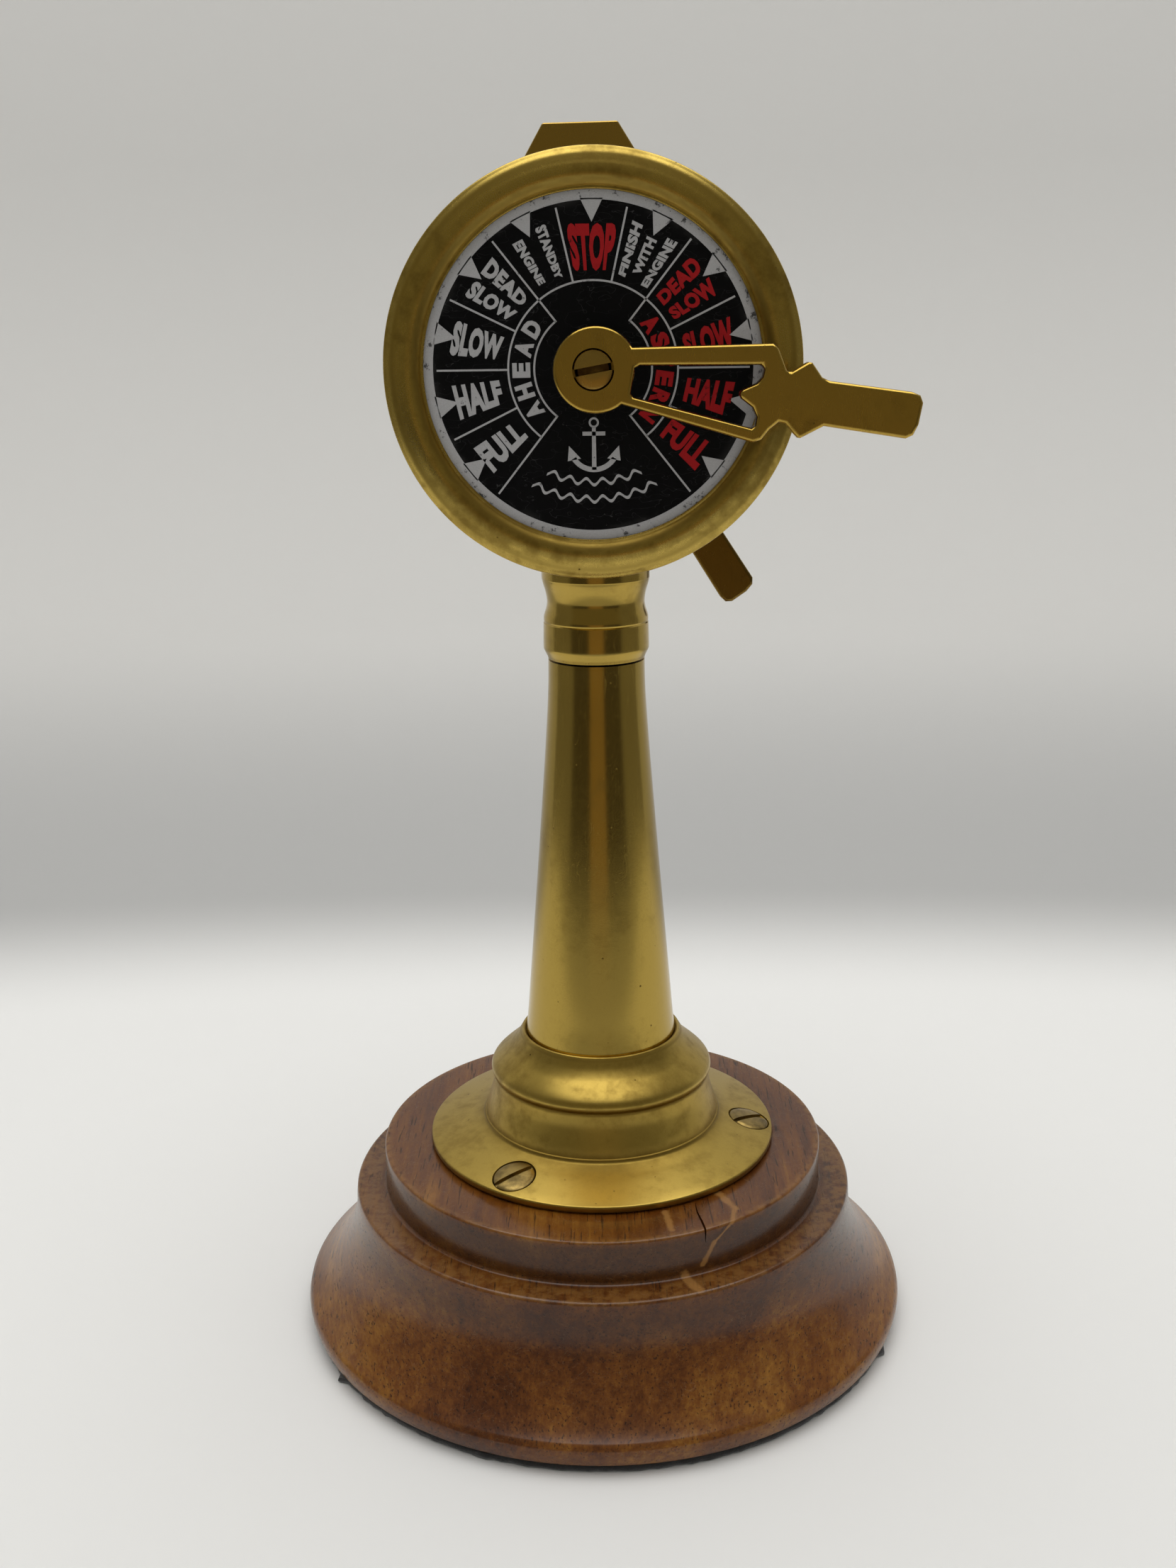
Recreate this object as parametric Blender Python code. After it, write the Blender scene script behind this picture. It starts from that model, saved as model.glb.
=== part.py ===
"""Desk-size ship's engine telegraph: a double-faced brass head on a tapered column and a turned wooden base.

The part stands on Z = 0 with its column on the Z axis. The front dial faces -Y and the rear dial faces +Y.
Sizes are in millimetres and are multiplied by MM when a mesh is made. Each face of the head has its own
local frame, seen as its reader sees it: X to the right, Y up and Z out of the dial. It stands FACE_OUT in front
of the head's middle plane, where the movement is.
"""

import math

import bmesh
import bpy
from mathutils import Matrix, Vector

MM = 0.001
TURN = 2 * math.pi
GAP = 0.3                    # left between two pieces that touch
WELD = 1e-7

# base
FELT_R, FELT_T = 62.6, 1.2
RIM_R, RIM_TOP = 64.1, 5.7
TIER2_R, TIER2_TOP = 52.8, 29.2
TIER1_R, BASE_TOP = 46.5, 38.2
RECESS_R, RECESS_TOP = 10.0, 10.5
ROD_R, ROD_HOLE_R = 2.5, 2.9

# foot and column
FLANGE_R, FLANGE_TOP = 36.5, 40.0
FLANGE_SLOPE = math.radians(15.0)
BAND_R = 24.8
LIP_R, LIP_TOP = 16.8, 62.3
COLUMN_BOTTOM, COLUMN_TOP, COLUMN_WALL = 61.7, 141.3, 2.0
FOOT_SCREW_R, FOOT_SCREW_ANGLES = 31.6, (-124.0, -4.0, 116.0)
FOOT_SCREW_HEAD_R, FOOT_SCREW_SHANK_R, FOOT_SCREW_LENGTH = 4.2, 1.9, 16.0
FOOT_SCREW_SLOT_ANGLES = (27.0, 38.0, -15.0)

# head, measured from its centre
HEAD_Z = 197.6
DRUM_R, DRUM_WALL, DRUM_HALF = 34.6, 3.2, 21.6
FACE_OUT = 9.0               # how far each face's frame stands out from the head's middle plane
SEAT_DEPTH = 1.3             # counterbore that holds each dial
DIAL_R, DIAL_T = 32.0, 1.0
BEZEL_R, BEZEL_LIP_R, BEZEL_BACK = 37.3, 30.1, 11.3
COVER_TOP_HALF, COVER_SLOPE, COVER_DEPTH_HALF, COVER_WALL = 6.6, 0.615, 15.0, 0.9
COVER_TOP, COVER_TILT, COVER_SHIFT = 41.8, math.radians(1.0), -1.1
NOTCH_HALF, NOTCH_TOP = 6.5, -23.8

# levers
FRONT_LEVER_ANGLE = math.radians(-8.8)       # from the 3 o'clock line, counter-clockwise
REAR_LEVER_ANGLE = math.radians(-123.0)
HUB_X, HUB_R, HUB_BACK, HUB_FRONT = 0.4, 7.4, 17.2, 21.5
ARM_BACK, ARM_FRONT = 17.9, 21.3
SPINDLE_R, SPINDLE_END_R, SPIGOT_R = 2.0, 1.4, 1.6
RUNNING = 0.1                # radial clearance of the spindle in its bush

# movement inside the head
TEETH, WHEEL_R, WHEEL_ROOT_R = 14, 6.5, 5.3
BELL_Y, BELL_R = -15.4, 7.4
STRIKER_X, STRIKER_Y = 12.5, 7.5
HAMMER_X, HAMMER_R = 9.8, 1.8


def clear_scene():
    for item in list(bpy.data.objects):
        bpy.data.objects.remove(item, do_unlink=True)


def finish(name):
    """Name, colour, roughness and metallic value of each finish."""
    finishes = {
        "felt": ((0.012, 0.012, 0.013), 0.95, 0.0),
        "wood": ((0.16, 0.055, 0.025), 0.42, 0.0),
        "brass": ((0.45, 0.33, 0.09), 0.34, 1.0),
        "bright_brass": ((0.66, 0.48, 0.16), 0.25, 1.0),
        "dial_black": ((0.01, 0.01, 0.012), 0.45, 0.0),
        "steel": ((0.42, 0.42, 0.43), 0.35, 1.0),
        "bell_bronze": ((0.55, 0.40, 0.20), 0.25, 1.0),
    }
    return finishes[name]


def add_material(body, finish_name):
    colour, roughness, metallic = finish(finish_name)
    made = bpy.data.materials.new(body.name + "_" + finish_name)
    made.use_nodes = True
    shader = made.node_tree.nodes["Principled BSDF"]
    shader.inputs["Base Color"].default_value = (*colour, 1)
    shader.inputs["Roughness"].default_value = roughness
    shader.inputs["Metallic"].default_value = metallic
    body.data.materials.append(made)


def add_body(name, mesh_data, finish_name, parent=None, place=None):
    """Puts a finished bmesh in the scene as one named piece."""
    bmesh.ops.remove_doubles(mesh_data, verts=mesh_data.verts, dist=WELD)
    bmesh.ops.recalc_face_normals(mesh_data, faces=mesh_data.faces)
    bmesh.ops.scale(mesh_data, vec=(MM, MM, MM), verts=mesh_data.verts)
    mesh = bpy.data.meshes.new(name)
    mesh_data.to_mesh(mesh)
    mesh_data.free()
    mesh.shade_smooth()
    mesh.set_sharp_from_angle(angle=math.radians(32))
    body = bpy.data.objects.new(name, mesh)
    bpy.context.scene.collection.objects.link(body)
    body.parent = parent
    if place is not None:
        body.matrix_basis = place
    add_material(body, finish_name)
    return body


def placed(x=0.0, y=0.0, z=0.0, turn=None):
    moved = Matrix.Translation(Vector((x, y, z)) * MM)
    return moved if turn is None else moved @ turn


def spun(profile, steps):
    """A closed profile of (radius, height) points turned about Z."""
    shape = bmesh.new()
    points = [shape.verts.new((radius, 0, height)) for radius, height in profile]
    edges = [shape.edges.new((a, b)) for a, b in zip(points, points[1:] + points[:1])
             if a.co.x > 0 or b.co.x > 0]
    bmesh.ops.spin(shape, geom=points + edges, cent=(0, 0, 0), axis=(0, 0, 1), angle=TURN,
                   steps=steps, use_merge=True)
    bmesh.ops.remove_doubles(shape, verts=shape.verts, dist=1e-5)
    return shape


def extruded(outline, low, high, holes=()):
    """A flat outline with holes, made a plate between two heights."""
    shape = bmesh.new()
    for ring in (outline, *holes):
        points = [shape.verts.new((x, y, low)) for x, y in ring]
        for a, b in zip(points, points[1:] + points[:1]):
            shape.edges.new((a, b))
    bmesh.ops.triangle_fill(shape, use_beauty=True, use_dissolve=False, edges=shape.edges[:])
    made = bmesh.ops.extrude_face_region(shape, geom=shape.faces[:])["geom"]
    raised = [item for item in made if isinstance(item, bmesh.types.BMVert)]
    bmesh.ops.translate(shape, vec=(0, 0, high - low), verts=raised)
    return shape


def circle(radius, count, x=0.0, y=0.0, start=0.0):
    return [(x + radius * math.cos(start + TURN * i / count), y + radius * math.sin(start + TURN * i / count))
            for i in range(count)]


def arc(x, y, radius, first, last, count):
    """Points along an arc, its two end angles in degrees."""
    angles = [math.radians(first + (last - first) * i / count) for i in range(count + 1)]
    return [(x + radius * math.cos(a), y + radius * math.sin(a)) for a in angles]


def hexagon(across_flats):
    return circle(across_flats / math.sqrt(3), 6)


def cutter(name, shape, parent=None, place=None):
    tool = add_body(name, shape, "steel", parent, place)
    tool.hide_render = True
    tool.display_type = "WIRE"
    return tool


def cut(body, tool):
    change = body.modifiers.new(tool.name, "BOOLEAN")
    change.operation = "DIFFERENCE"
    change.solver = "EXACT"
    change.object = tool


def frame_empty(name, place, parent=None):
    holder = bpy.data.objects.new(name, None)
    holder.empty_display_size = 0.01
    bpy.context.scene.collection.objects.link(holder)
    holder.parent = parent
    holder.matrix_basis = place
    return holder


# ---- base, foot and column, in the part's own frame

def make_base():
    felt = [(0, 0), (FELT_R, 0), (FELT_R, FELT_T), (0, FELT_T)]
    add_body("felt_pad", spun(felt, 36), "felt")
    bottom = FELT_T + GAP
    cove_r, cove_top = 26.4, 27.5
    cove = arc(TIER2_R + 0.1 + cove_r, cove_top, cove_r, 234, 180, 6)
    profile = [(ROD_HOLE_R, RECESS_TOP), (RECESS_R, RECESS_TOP), (RECESS_R, bottom), (RIM_R - 1.7, bottom),
               (RIM_R - 0.7, bottom + 0.7), (RIM_R - 0.1, bottom + 2.4), (RIM_R, RIM_TOP - 0.2), *cove,
               (TIER2_R - 0.1, TIER2_TOP - 0.6), (TIER2_R - 0.6, TIER2_TOP), (TIER1_R + 0.8, TIER2_TOP - 0.1),
               (TIER1_R + 0.1, TIER2_TOP + 0.4), (TIER1_R, BASE_TOP - 0.6), (TIER1_R - 0.5, BASE_TOP),
               (ROD_HOLE_R, BASE_TOP)]
    base = add_body("wooden_base", spun(profile, 36), "wood")
    washer = [(ROD_HOLE_R, 9.0), (8.0, 9.0), (8.0, 10.2), (ROD_HOLE_R, 10.2)]
    add_body("base_washer", spun(washer, 24), "steel")
    add_body("base_nut", extruded(hexagon(8.0), 4.6, 8.7, [circle(ROD_R + GAP, 16)]), "steel")
    rod = [(0, 3.2), (ROD_R, 3.2), (ROD_R, 172.5), (0, 172.5)]
    add_body("tie_rod", spun(rod, 16), "steel")
    return base


def make_foot():
    under = BASE_TOP + GAP
    cone_top = FLANGE_TOP + (FLANGE_R - 0.4 - BAND_R) * math.tan(FLANGE_SLOPE)
    profile = [(FLANGE_R - 0.3, under), (FLANGE_R, under + 0.4), (FLANGE_R, FLANGE_TOP - 0.3),
               (FLANGE_R - 0.3, FLANGE_TOP), (BAND_R + 0.2, cone_top), (BAND_R - 0.1, cone_top + 0.5),
               (24.3, 45.6), (23.5, 48.5), (22.9, 50.6), (22.7, 52.4), (22.8, 52.8), (23.2, 53.2),
               (23.3, 54.2), (22.9, 55.1), (22.1, 56.0), (20.7, 57.3), (19.2, 58.5), (17.9, 59.9),
               (17.2, 61.1), (LIP_R, LIP_TOP - 0.4), (LIP_R - 0.3, LIP_TOP), (LIP_R - 0.7, LIP_TOP),
               (LIP_R - 0.7, COLUMN_BOTTOM - GAP), (9.0, COLUMN_BOTTOM - GAP), (9.0, 58.6), (15.0, 58.2),
               (20.8, 52.0), (21.4, under)]
    return add_body("foot_casting", spun(profile, 36), "brass")


def foot_screw_profile(extra=0.0):
    """Countersunk wood screw, its head's top at height 0."""
    head, shank = FOOT_SCREW_HEAD_R + extra, FOOT_SCREW_SHANK_R + extra
    end = -FOOT_SCREW_LENGTH - extra
    return [(0, 0.4 + extra), (head * 0.6, 0.3 + extra), (head, extra), (head, -0.4), (shank, -2.8 - extra / 2),
            (shank * 0.85, end + 4.5), (0, end)]


def make_foot_screws(base, foot):
    """Three wood screws stand square to the flange's sloping top."""
    for number, (angle, slot_angle) in enumerate(zip(FOOT_SCREW_ANGLES, FOOT_SCREW_SLOT_ANGLES), 1):
        top = FLANGE_TOP + (FLANGE_R - 0.3 - FOOT_SCREW_R) * math.tan(FLANGE_SLOPE)
        outward = Matrix.Rotation(math.radians(angle), 4, "Z")
        lean = Matrix.Rotation(FLANGE_SLOPE, 4, "Y")
        place = outward @ placed(FOOT_SCREW_R, 0, top, lean)
        turned = place @ Matrix.Rotation(math.radians(slot_angle - angle), 4, "Z")
        body = add_body(f"foot_screw_{number}", spun(foot_screw_profile(), 16), "brass", None, turned)
        slot = extruded([(-6, -0.5), (6, -0.5), (6, 0.5), (-6, 0.5)], -0.7, 2.0)
        cut(body, cutter(f"foot_screw_slot_{number}", slot, None, turned))
        hole = cutter(f"foot_screw_hole_{number}", spun(foot_screw_profile(GAP), 16), None, place)
        cut(foot, hole)
        cut(base, hole)


def make_column():
    outside = [(15.75, COLUMN_BOTTOM), (14.65, 73.0), (12.3, 101.0), (10.4, 125.0), (9.75, 135.0),
               (9.6, COLUMN_TOP)]
    inside = [(radius - COLUMN_WALL, height) for radius, height in reversed(outside)]
    add_body("column", spun(outside + inside, 32), "brass")


def make_neck():
    low, reach = COLUMN_TOP + GAP, HEAD_Z - DRUM_R + 3
    profile = [(ROD_HOLE_R, low), (9.6, low), (9.85, low + 0.6), (10.5, 143.6), (10.25, 149.0), (9.75, 150.8),
               (9.5, 152.4), (9.7, 153.8), (10.25, 156.0), (10.3, reach), (ROD_HOLE_R, reach)]
    neck = add_body("neck_collar", spun(profile, 28), "brass")
    saddle = spun([(0, -30), (DRUM_R + GAP, -30), (DRUM_R + GAP, 30), (0, 30)], 64)
    cut(neck, cutter("drum_saddle", saddle, None, placed(0, 0, HEAD_Z, Matrix.Rotation(TURN / 4, 4, "X"))))


# ---- head, in the front face's frame

def make_drum(front):
    inner, seat = DRUM_R - DRUM_WALL, DRUM_HALF - SEAT_DEPTH
    half = [(DRUM_R, DRUM_HALF), (DIAL_R + GAP, DRUM_HALF), (DIAL_R + GAP, seat), (inner, seat)]
    profile = half + [(radius, -height) for radius, height in reversed(half)]
    drum = add_body("drum_shell", spun(profile, 44), "brass", front)
    upright = Matrix.Rotation(TURN / 4, 4, "X")
    rod_hole = spun([(0, -40), (ROD_HOLE_R, -40), (ROD_HOLE_R, -25), (0, -25)], 12)
    cut(drum, cutter("drum_rod_hole", rod_hole, front, upright.inverted()))
    lamp_hole = spun([(0, 25), (4.0, 25), (4.0, 40), (0, 40)], 12)
    cut(drum, cutter("drum_lamp_hole", lamp_hole, front, upright.inverted()))


def make_drum_fixing():
    floor = HEAD_Z - DRUM_R + DRUM_WALL + 0.8
    washer = [(ROD_HOLE_R, floor), (5.2, floor), (5.2, floor + 0.9), (ROD_HOLE_R, floor + 0.9)]
    add_body("drum_washer", spun(washer, 20), "steel")
    nut = extruded(hexagon(8.0), floor + 1.2, floor + 5.2, [circle(ROD_R + GAP, 16)])
    add_body("drum_nut", nut, "steel")


def make_lamp_cover(front):
    """The sloping box on the drum's crown, open underneath."""
    def wedge(top, shrink, low):
        half = [(COVER_TOP_HALF - shrink, top), (COVER_TOP_HALF - shrink + (top - low) * COVER_SLOPE, low)]
        return [half[0], half[1], (-half[1][0], low), (-half[0][0], top)]
    depth = COVER_DEPTH_HALF
    shell = extruded(wedge(COVER_TOP, 0.0, 31.0), -depth, depth)
    place = placed(COVER_SHIFT, 0, 0, Matrix.Rotation(COVER_TILT, 4, "Z"))
    cover = add_body("lamp_cover", shell, "brass", front, place)
    hollow = extruded(wedge(COVER_TOP - COVER_WALL, 0.7, 25.0), COVER_WALL - depth, depth - COVER_WALL)
    cut(cover, cutter("lamp_cover_hollow", hollow, front, place))
    drum = spun([(0, -30), (DRUM_R + GAP, -30), (DRUM_R + GAP, 30), (0, 30)], 64)
    cut(cover, cutter("lamp_cover_foot", drum, front))


def make_middle_plate(front):
    """Thin plate across the drum that carries the bells and the striker pins."""
    plate = spun([(0, -0.6), (DRUM_R - DRUM_WALL - GAP, -0.6), (DRUM_R - DRUM_WALL - GAP, 0.6), (0, 0.6)], 44)
    body = add_body("middle_plate", plate, "brass", front)
    notch = extruded([(-NOTCH_HALF, -40), (NOTCH_HALF, -40), (NOTCH_HALF, NOTCH_TOP), (-NOTCH_HALF, NOTCH_TOP)],
                     -3, 3)
    cut(body, cutter("middle_plate_notch", notch, front))
    post_hole = spun([(0, -3), (1.5, -3), (1.5, 3), (0, 3)], 12)
    cut(body, cutter("middle_plate_hole", post_hole, front, placed(0, BELL_Y, 0)))
    post = spun([(0, -9.6), (1.2, -9.6), (1.2, 9.6), (0, 9.6)], 12)
    add_body("bell_post", post, "steel", front, placed(0, BELL_Y, 0))


def make_face(side, face):
    """Bezel, dial and bush of one face."""
    seat = BEZEL_BACK + 1.6
    groove_r, roll_r, roll_z = 34.9, 2.6, 12.1
    roll = arc(groove_r - roll_r * 0.85, roll_z, roll_r, 34, 150, 4)
    profile = [(DRUM_R + GAP, BEZEL_BACK), (BEZEL_R - 0.2, BEZEL_BACK), (BEZEL_R, BEZEL_BACK + 0.2),
               (BEZEL_R, 12.8), (groove_r + 0.2, 13.9), *roll,
               (BEZEL_LIP_R + 0.1, 13.1), (BEZEL_LIP_R, seat), (DRUM_R + GAP, seat)]
    add_body(side + "_bezel", spun(profile, 44), "bright_brass", face)

    dial = [(4.0, 11.6), (DIAL_R, 11.6), (DIAL_R, 11.6 + DIAL_T), (4.0, 11.6 + DIAL_T)]
    add_body(side + "_dial", spun(dial, 44), "dial_black", face)

    bore = SPINDLE_R + RUNNING
    bush = [(bore, 7.4), (3.7, 7.4), (3.7, 12.9), (5.2, 12.9), (5.2, 15.1), (bore, 15.1)]
    add_body(side + "_bush", spun(bush, 20), "brass", face)
    add_body(side + "_bush_nut", extruded(hexagon(10.5), 8.9, 11.3, [circle(4.0, 16)]), "brass", face)


def make_bell(side, middle):
    bell = [(BELL_R - 0.7, 1.7), (BELL_R, 1.7), (BELL_R - 0.2, 3.6), (BELL_R - 1.3, 5.4), (BELL_R - 3.4, 6.5),
            (1.5, 6.8), (1.5, 6.0), (BELL_R - 3.7, 5.7), (BELL_R - 1.9, 4.8), (BELL_R - 0.9, 3.4)]
    place = placed(0, BELL_Y, 0)
    add_body(side + "_bell", spun(bell, 20), "bell_bronze", middle, place)
    add_body(side + "_bell_nut", extruded(hexagon(5.0), 7.1, 9.0, [circle(1.5, 12)]), "steel", middle, place)


def lever_outline():
    """The pointer lever, its pivot at 0 and its grip along +X: out along one arm, back along the other."""
    above = [(30.1, 8.7), (31.1, 8.0), (33.1, 4.6), (33.8, 4.3), (36.6, 6.5), (37.3, 6.5), (39.4, 4.3),
             (40.8, 3.9), (55.2, 4.1), (56.8, 3.7), (57.5, 2.5)]
    below = [(57.4, -1.2), (56.8, -3.1), (55.6, -3.9), (41.1, -3.8), (37.4, -6.4), (36.9, -6.4), (34.4, -4.3),
             (33.2, -4.2), (31.8, -5.7), (30.7, -7.6), (29.3, -8.3)]
    return above + below + arc(HUB_X, 0, HUB_R, 316, 39, 14)


def make_lever(side, holder):
    window = [(7.0, -3.1), (7.6, -3.6), (28.7, -5.9), (29.3, -5.4), (29.3, -3.9), (28.3, -2.4), (26.1, -1.2),
              (25.5, -0.3), (26.2, 0.4), (28.4, 1.7), (29.2, 2.9), (29.3, 4.2), (28.8, 4.9), (7.9, 1.8), (7.1, 1.3)]
    plate = extruded(lever_outline(), ARM_BACK, ARM_FRONT, [window])
    lever = add_body(side + "_lever", plate, "bright_brass", holder)
    edge = lever.modifiers.new("rounded_edges", "BEVEL")
    edge.width = 0.7 * MM
    edge.segments = 1
    edge.limit_method = "ANGLE"
    edge.angle_limit = math.radians(60)
    boss = spun([(0, HUB_BACK), (HUB_R - 0.6, HUB_BACK), (HUB_R - 0.05, HUB_BACK + 0.6), (HUB_R - 0.05, 20.7),
                 (HUB_R - 0.7, HUB_FRONT), (0, HUB_FRONT)], 28)
    join = lever.modifiers.new("hub", "BOOLEAN")
    join.operation = "UNION"
    join.solver = "EXACT"
    join.object = cutter(side + "_lever_hub", boss, holder, placed(HUB_X, 0, 0))
    bore = spun([(0, 16), (1.9, 16), (1.9, 19.2), (3.7, 20.9), (3.7, 23), (0, 23)], 18)
    cut(lever, cutter(side + "_lever_bore", bore, holder))


def make_lever_group(side, face, angle):
    """Everything that turns with one lever; the holder's Z axis is the hinge."""
    holder = frame_empty(side + "_lever_axis", Matrix.Rotation(angle, 4, "Z"), face)
    make_lever(side, holder)
    inner = -FACE_OUT
    spindle = [(0, inner + 1.2), (SPINDLE_END_R, inner + 1.2), (SPINDLE_END_R, inner + 5.1),
               (SPINDLE_R, inner + 5.1), (SPINDLE_R, 16.9),
               (SPIGOT_R, 16.9), (SPIGOT_R, 19.2), (1.2, 19.2), (1.2, 14.0), (0, 14.0)]
    add_body(side + "_spindle", spun(spindle, 20), "steel", holder)
    washer = [(SPINDLE_R + GAP, 15.5), (4.4, 15.5), (4.4, 16.8), (SPINDLE_R + GAP, 16.8)]
    add_body(side + "_lever_washer", spun(washer, 20), "brass", holder)
    screw = [(0, 14.6), (0.9, 14.6), (0.9, 19.5), (1.5, 19.5), (3.4, 21.2), (3.4, 21.5), (0, 21.6)]
    turned = Matrix.Rotation(math.radians(10.0) - angle, 4, "Z")
    body = add_body(side + "_lever_screw", spun(screw, 18), "bright_brass", holder, turned)
    slot = extruded([(-5, -0.7), (5, -0.7), (5, 0.7), (-5, 0.7)], 20.6, 23.0)
    cut(body, cutter(side + "_lever_screw_slot", slot, holder, turned))

    step = TURN / TEETH
    teeth = []
    for i in range(TEETH):
        teeth += [(WHEEL_R, (i - 0.1) * step), (WHEEL_R, (i + 0.1) * step), (WHEEL_ROOT_R, (i + 0.5) * step)]
    wheel = [(radius * math.cos(a), radius * math.sin(a)) for radius, a in teeth]
    bore = circle(SPINDLE_END_R + GAP, 16)
    add_body(side + "_star_wheel", extruded(wheel, inner + 3.4, inner + 4.8, [bore]), "brass", holder)
    add_body(side + "_star_nut", extruded(hexagon(5.0), inner + 1.5, inner + 3.1, [bore]), "steel", holder)


def make_striker(side, middle):
    """Pivoted arm that a wheel tooth pushes outwards, and a spring returns to beside the bell."""
    holder = frame_empty(side + "_striker_axis", placed(STRIKER_X, STRIKER_Y, 0), middle)
    pin = [(0, 0.9), (1.1, 0.9), (1.1, 4.9), (1.9, 4.9), (1.9, 5.7), (0, 5.7)]
    add_body(side + "_striker_pin", spun(pin, 14), "steel", middle, placed(STRIKER_X, STRIKER_Y, 0))
    x, y = HAMMER_X - STRIKER_X, BELL_Y - STRIKER_Y
    eye = arc(0, 0, 2.6, -60, 210, 9)
    nib = [(-2.3, y * 0.25), (WHEEL_R + 0.35 - STRIKER_X, -STRIKER_Y), (-2.4, y * 0.4)]
    foot = arc(x, y, 1.6, 180, 360, 5)
    arm = extruded(eye + nib + foot, 3.4, 4.6, [circle(1.25, 14), circle(0.9, 10, x, y)])
    add_body(side + "_striker_arm", arm, "brass", holder)
    head = [(0, 1.7), (HAMMER_R, 1.7), (HAMMER_R, 3.1), (0.6, 3.1), (0.6, 4.9), (1.3, 4.9), (1.3, 5.6), (0, 5.6)]
    add_body(side + "_hammer", spun(head, 14), "brass", holder, placed(x, y, 0))

    wire = bpy.data.curves.new(side + "_striker_spring", "CURVE")
    wire.dimensions = "3D"
    wire.bevel_depth = 0.28 * MM
    wire.bevel_resolution = 0
    wire.use_fill_caps = True
    line = wire.splines.new("POLY")
    turns, count, coil_r = 2.25, 24, 1.75
    coil = [(coil_r * math.cos(turns * TURN * i / count), coil_r * math.sin(turns * TURN * i / count),
             1.4 + 1.5 * i / count) for i in range(count + 1)]
    line.points.add(len(coil) - 1)
    for point, (px, py, pz) in zip(line.points, coil):
        point.co = (px * MM, py * MM, pz * MM, 1)
    spring = bpy.data.objects.new(side + "_striker_spring", wire)
    bpy.context.scene.collection.objects.link(spring)
    spring.parent = middle
    spring.matrix_basis = placed(STRIKER_X, STRIKER_Y, 0)
    add_material(spring, "steel")


def main():
    clear_scene()
    base = make_base()
    foot = make_foot()
    make_foot_screws(base, foot)
    make_column()
    make_neck()
    out_of_front = placed(0, 0, HEAD_Z, Matrix.Rotation(TURN / 4, 4, "X"))
    middles = {"front": frame_empty("front_middle", out_of_front),
               "rear": frame_empty("rear_middle", Matrix.Rotation(TURN / 2, 4, "Z") @ out_of_front)}
    make_drum(middles["front"])
    make_drum_fixing()
    make_lamp_cover(middles["front"])
    make_middle_plate(middles["front"])
    for side, angle in (("front", FRONT_LEVER_ANGLE), ("rear", REAR_LEVER_ANGLE)):
        face = frame_empty(side + "_face", placed(0, 0, FACE_OUT), middles[side])
        make_face(side, face)
        make_lever_group(side, face, angle)
        make_bell(side, middles[side])
        make_striker(side, middles[side])


main()
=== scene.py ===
import math

import bmesh
import bpy
from mathutils import Matrix, Vector, noise


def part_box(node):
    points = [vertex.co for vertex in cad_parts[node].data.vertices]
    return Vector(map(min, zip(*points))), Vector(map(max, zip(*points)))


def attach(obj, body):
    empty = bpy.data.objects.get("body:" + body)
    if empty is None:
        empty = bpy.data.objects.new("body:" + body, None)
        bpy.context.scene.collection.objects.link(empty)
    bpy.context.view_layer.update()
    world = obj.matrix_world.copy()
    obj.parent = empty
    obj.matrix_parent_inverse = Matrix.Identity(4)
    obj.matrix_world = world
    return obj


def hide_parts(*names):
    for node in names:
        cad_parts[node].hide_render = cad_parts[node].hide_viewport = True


# Desk-size ship's engine telegraph: a brass head with two dials and two pointer levers,
# on a tapered brass column and a turned wooden base. Shapes are drawn in millimetres.
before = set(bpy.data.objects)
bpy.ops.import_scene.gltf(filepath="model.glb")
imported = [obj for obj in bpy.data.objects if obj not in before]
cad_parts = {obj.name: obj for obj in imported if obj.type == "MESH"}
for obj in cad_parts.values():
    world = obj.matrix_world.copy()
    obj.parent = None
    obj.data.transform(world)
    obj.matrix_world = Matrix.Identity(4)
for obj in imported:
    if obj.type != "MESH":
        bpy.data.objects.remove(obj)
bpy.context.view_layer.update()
mm = 0.001
fullTurn = 2 * math.pi
print("frame loaded with", len(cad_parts), "nodes")


def lowest(node):
    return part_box(node)[0] / mm


def highest(node):
    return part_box(node)[1] / mm


def turnedBy(degrees, axis):
    return Matrix.Rotation(math.radians(degrees), 4, axis)


def movedTo(x, y, z):
    return Matrix.Translation((x, y, z))


headCentre = (lowest("drum_shell") + highest("drum_shell")) / 2
headMiddle = movedTo(*headCentre) @ turnedBy(90, "X")     # x right, y up, z out of the front dial
drumEnd = 12.6                                            # height of the drum's end in a face's frame
frontFace = headMiddle @ movedTo(0, 0, highest("drum_shell").y - drumEnd)
rearFace = turnedBy(180, "Z") @ frontFace
faces = {"front": frontFace, "rear": rearFace}


class Value:
    # one output of a shader node, which can stand in a sum
    def __init__(self, finish, socket):
        self.finish = finish
        self.socket = socket

    def output(self, name):
        return Value(self.finish, self.socket.node.outputs[name])

    def __add__(self, other):
        return self.finish.maths("ADD", self, other)

    def __sub__(self, other):
        return self.finish.maths("SUBTRACT", self, other)

    def __mul__(self, other):
        return self.finish.maths("MULTIPLY", self, other)

    def __rsub__(self, other):
        return self.finish.maths("SUBTRACT", other, self)

    def __abs__(self):
        return self.finish.maths("ABSOLUTE", self)

    def __pow__(self, other):
        return self.finish.maths("POWER", self, other)

    __radd__ = __add__
    __rmul__ = __mul__


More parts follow.
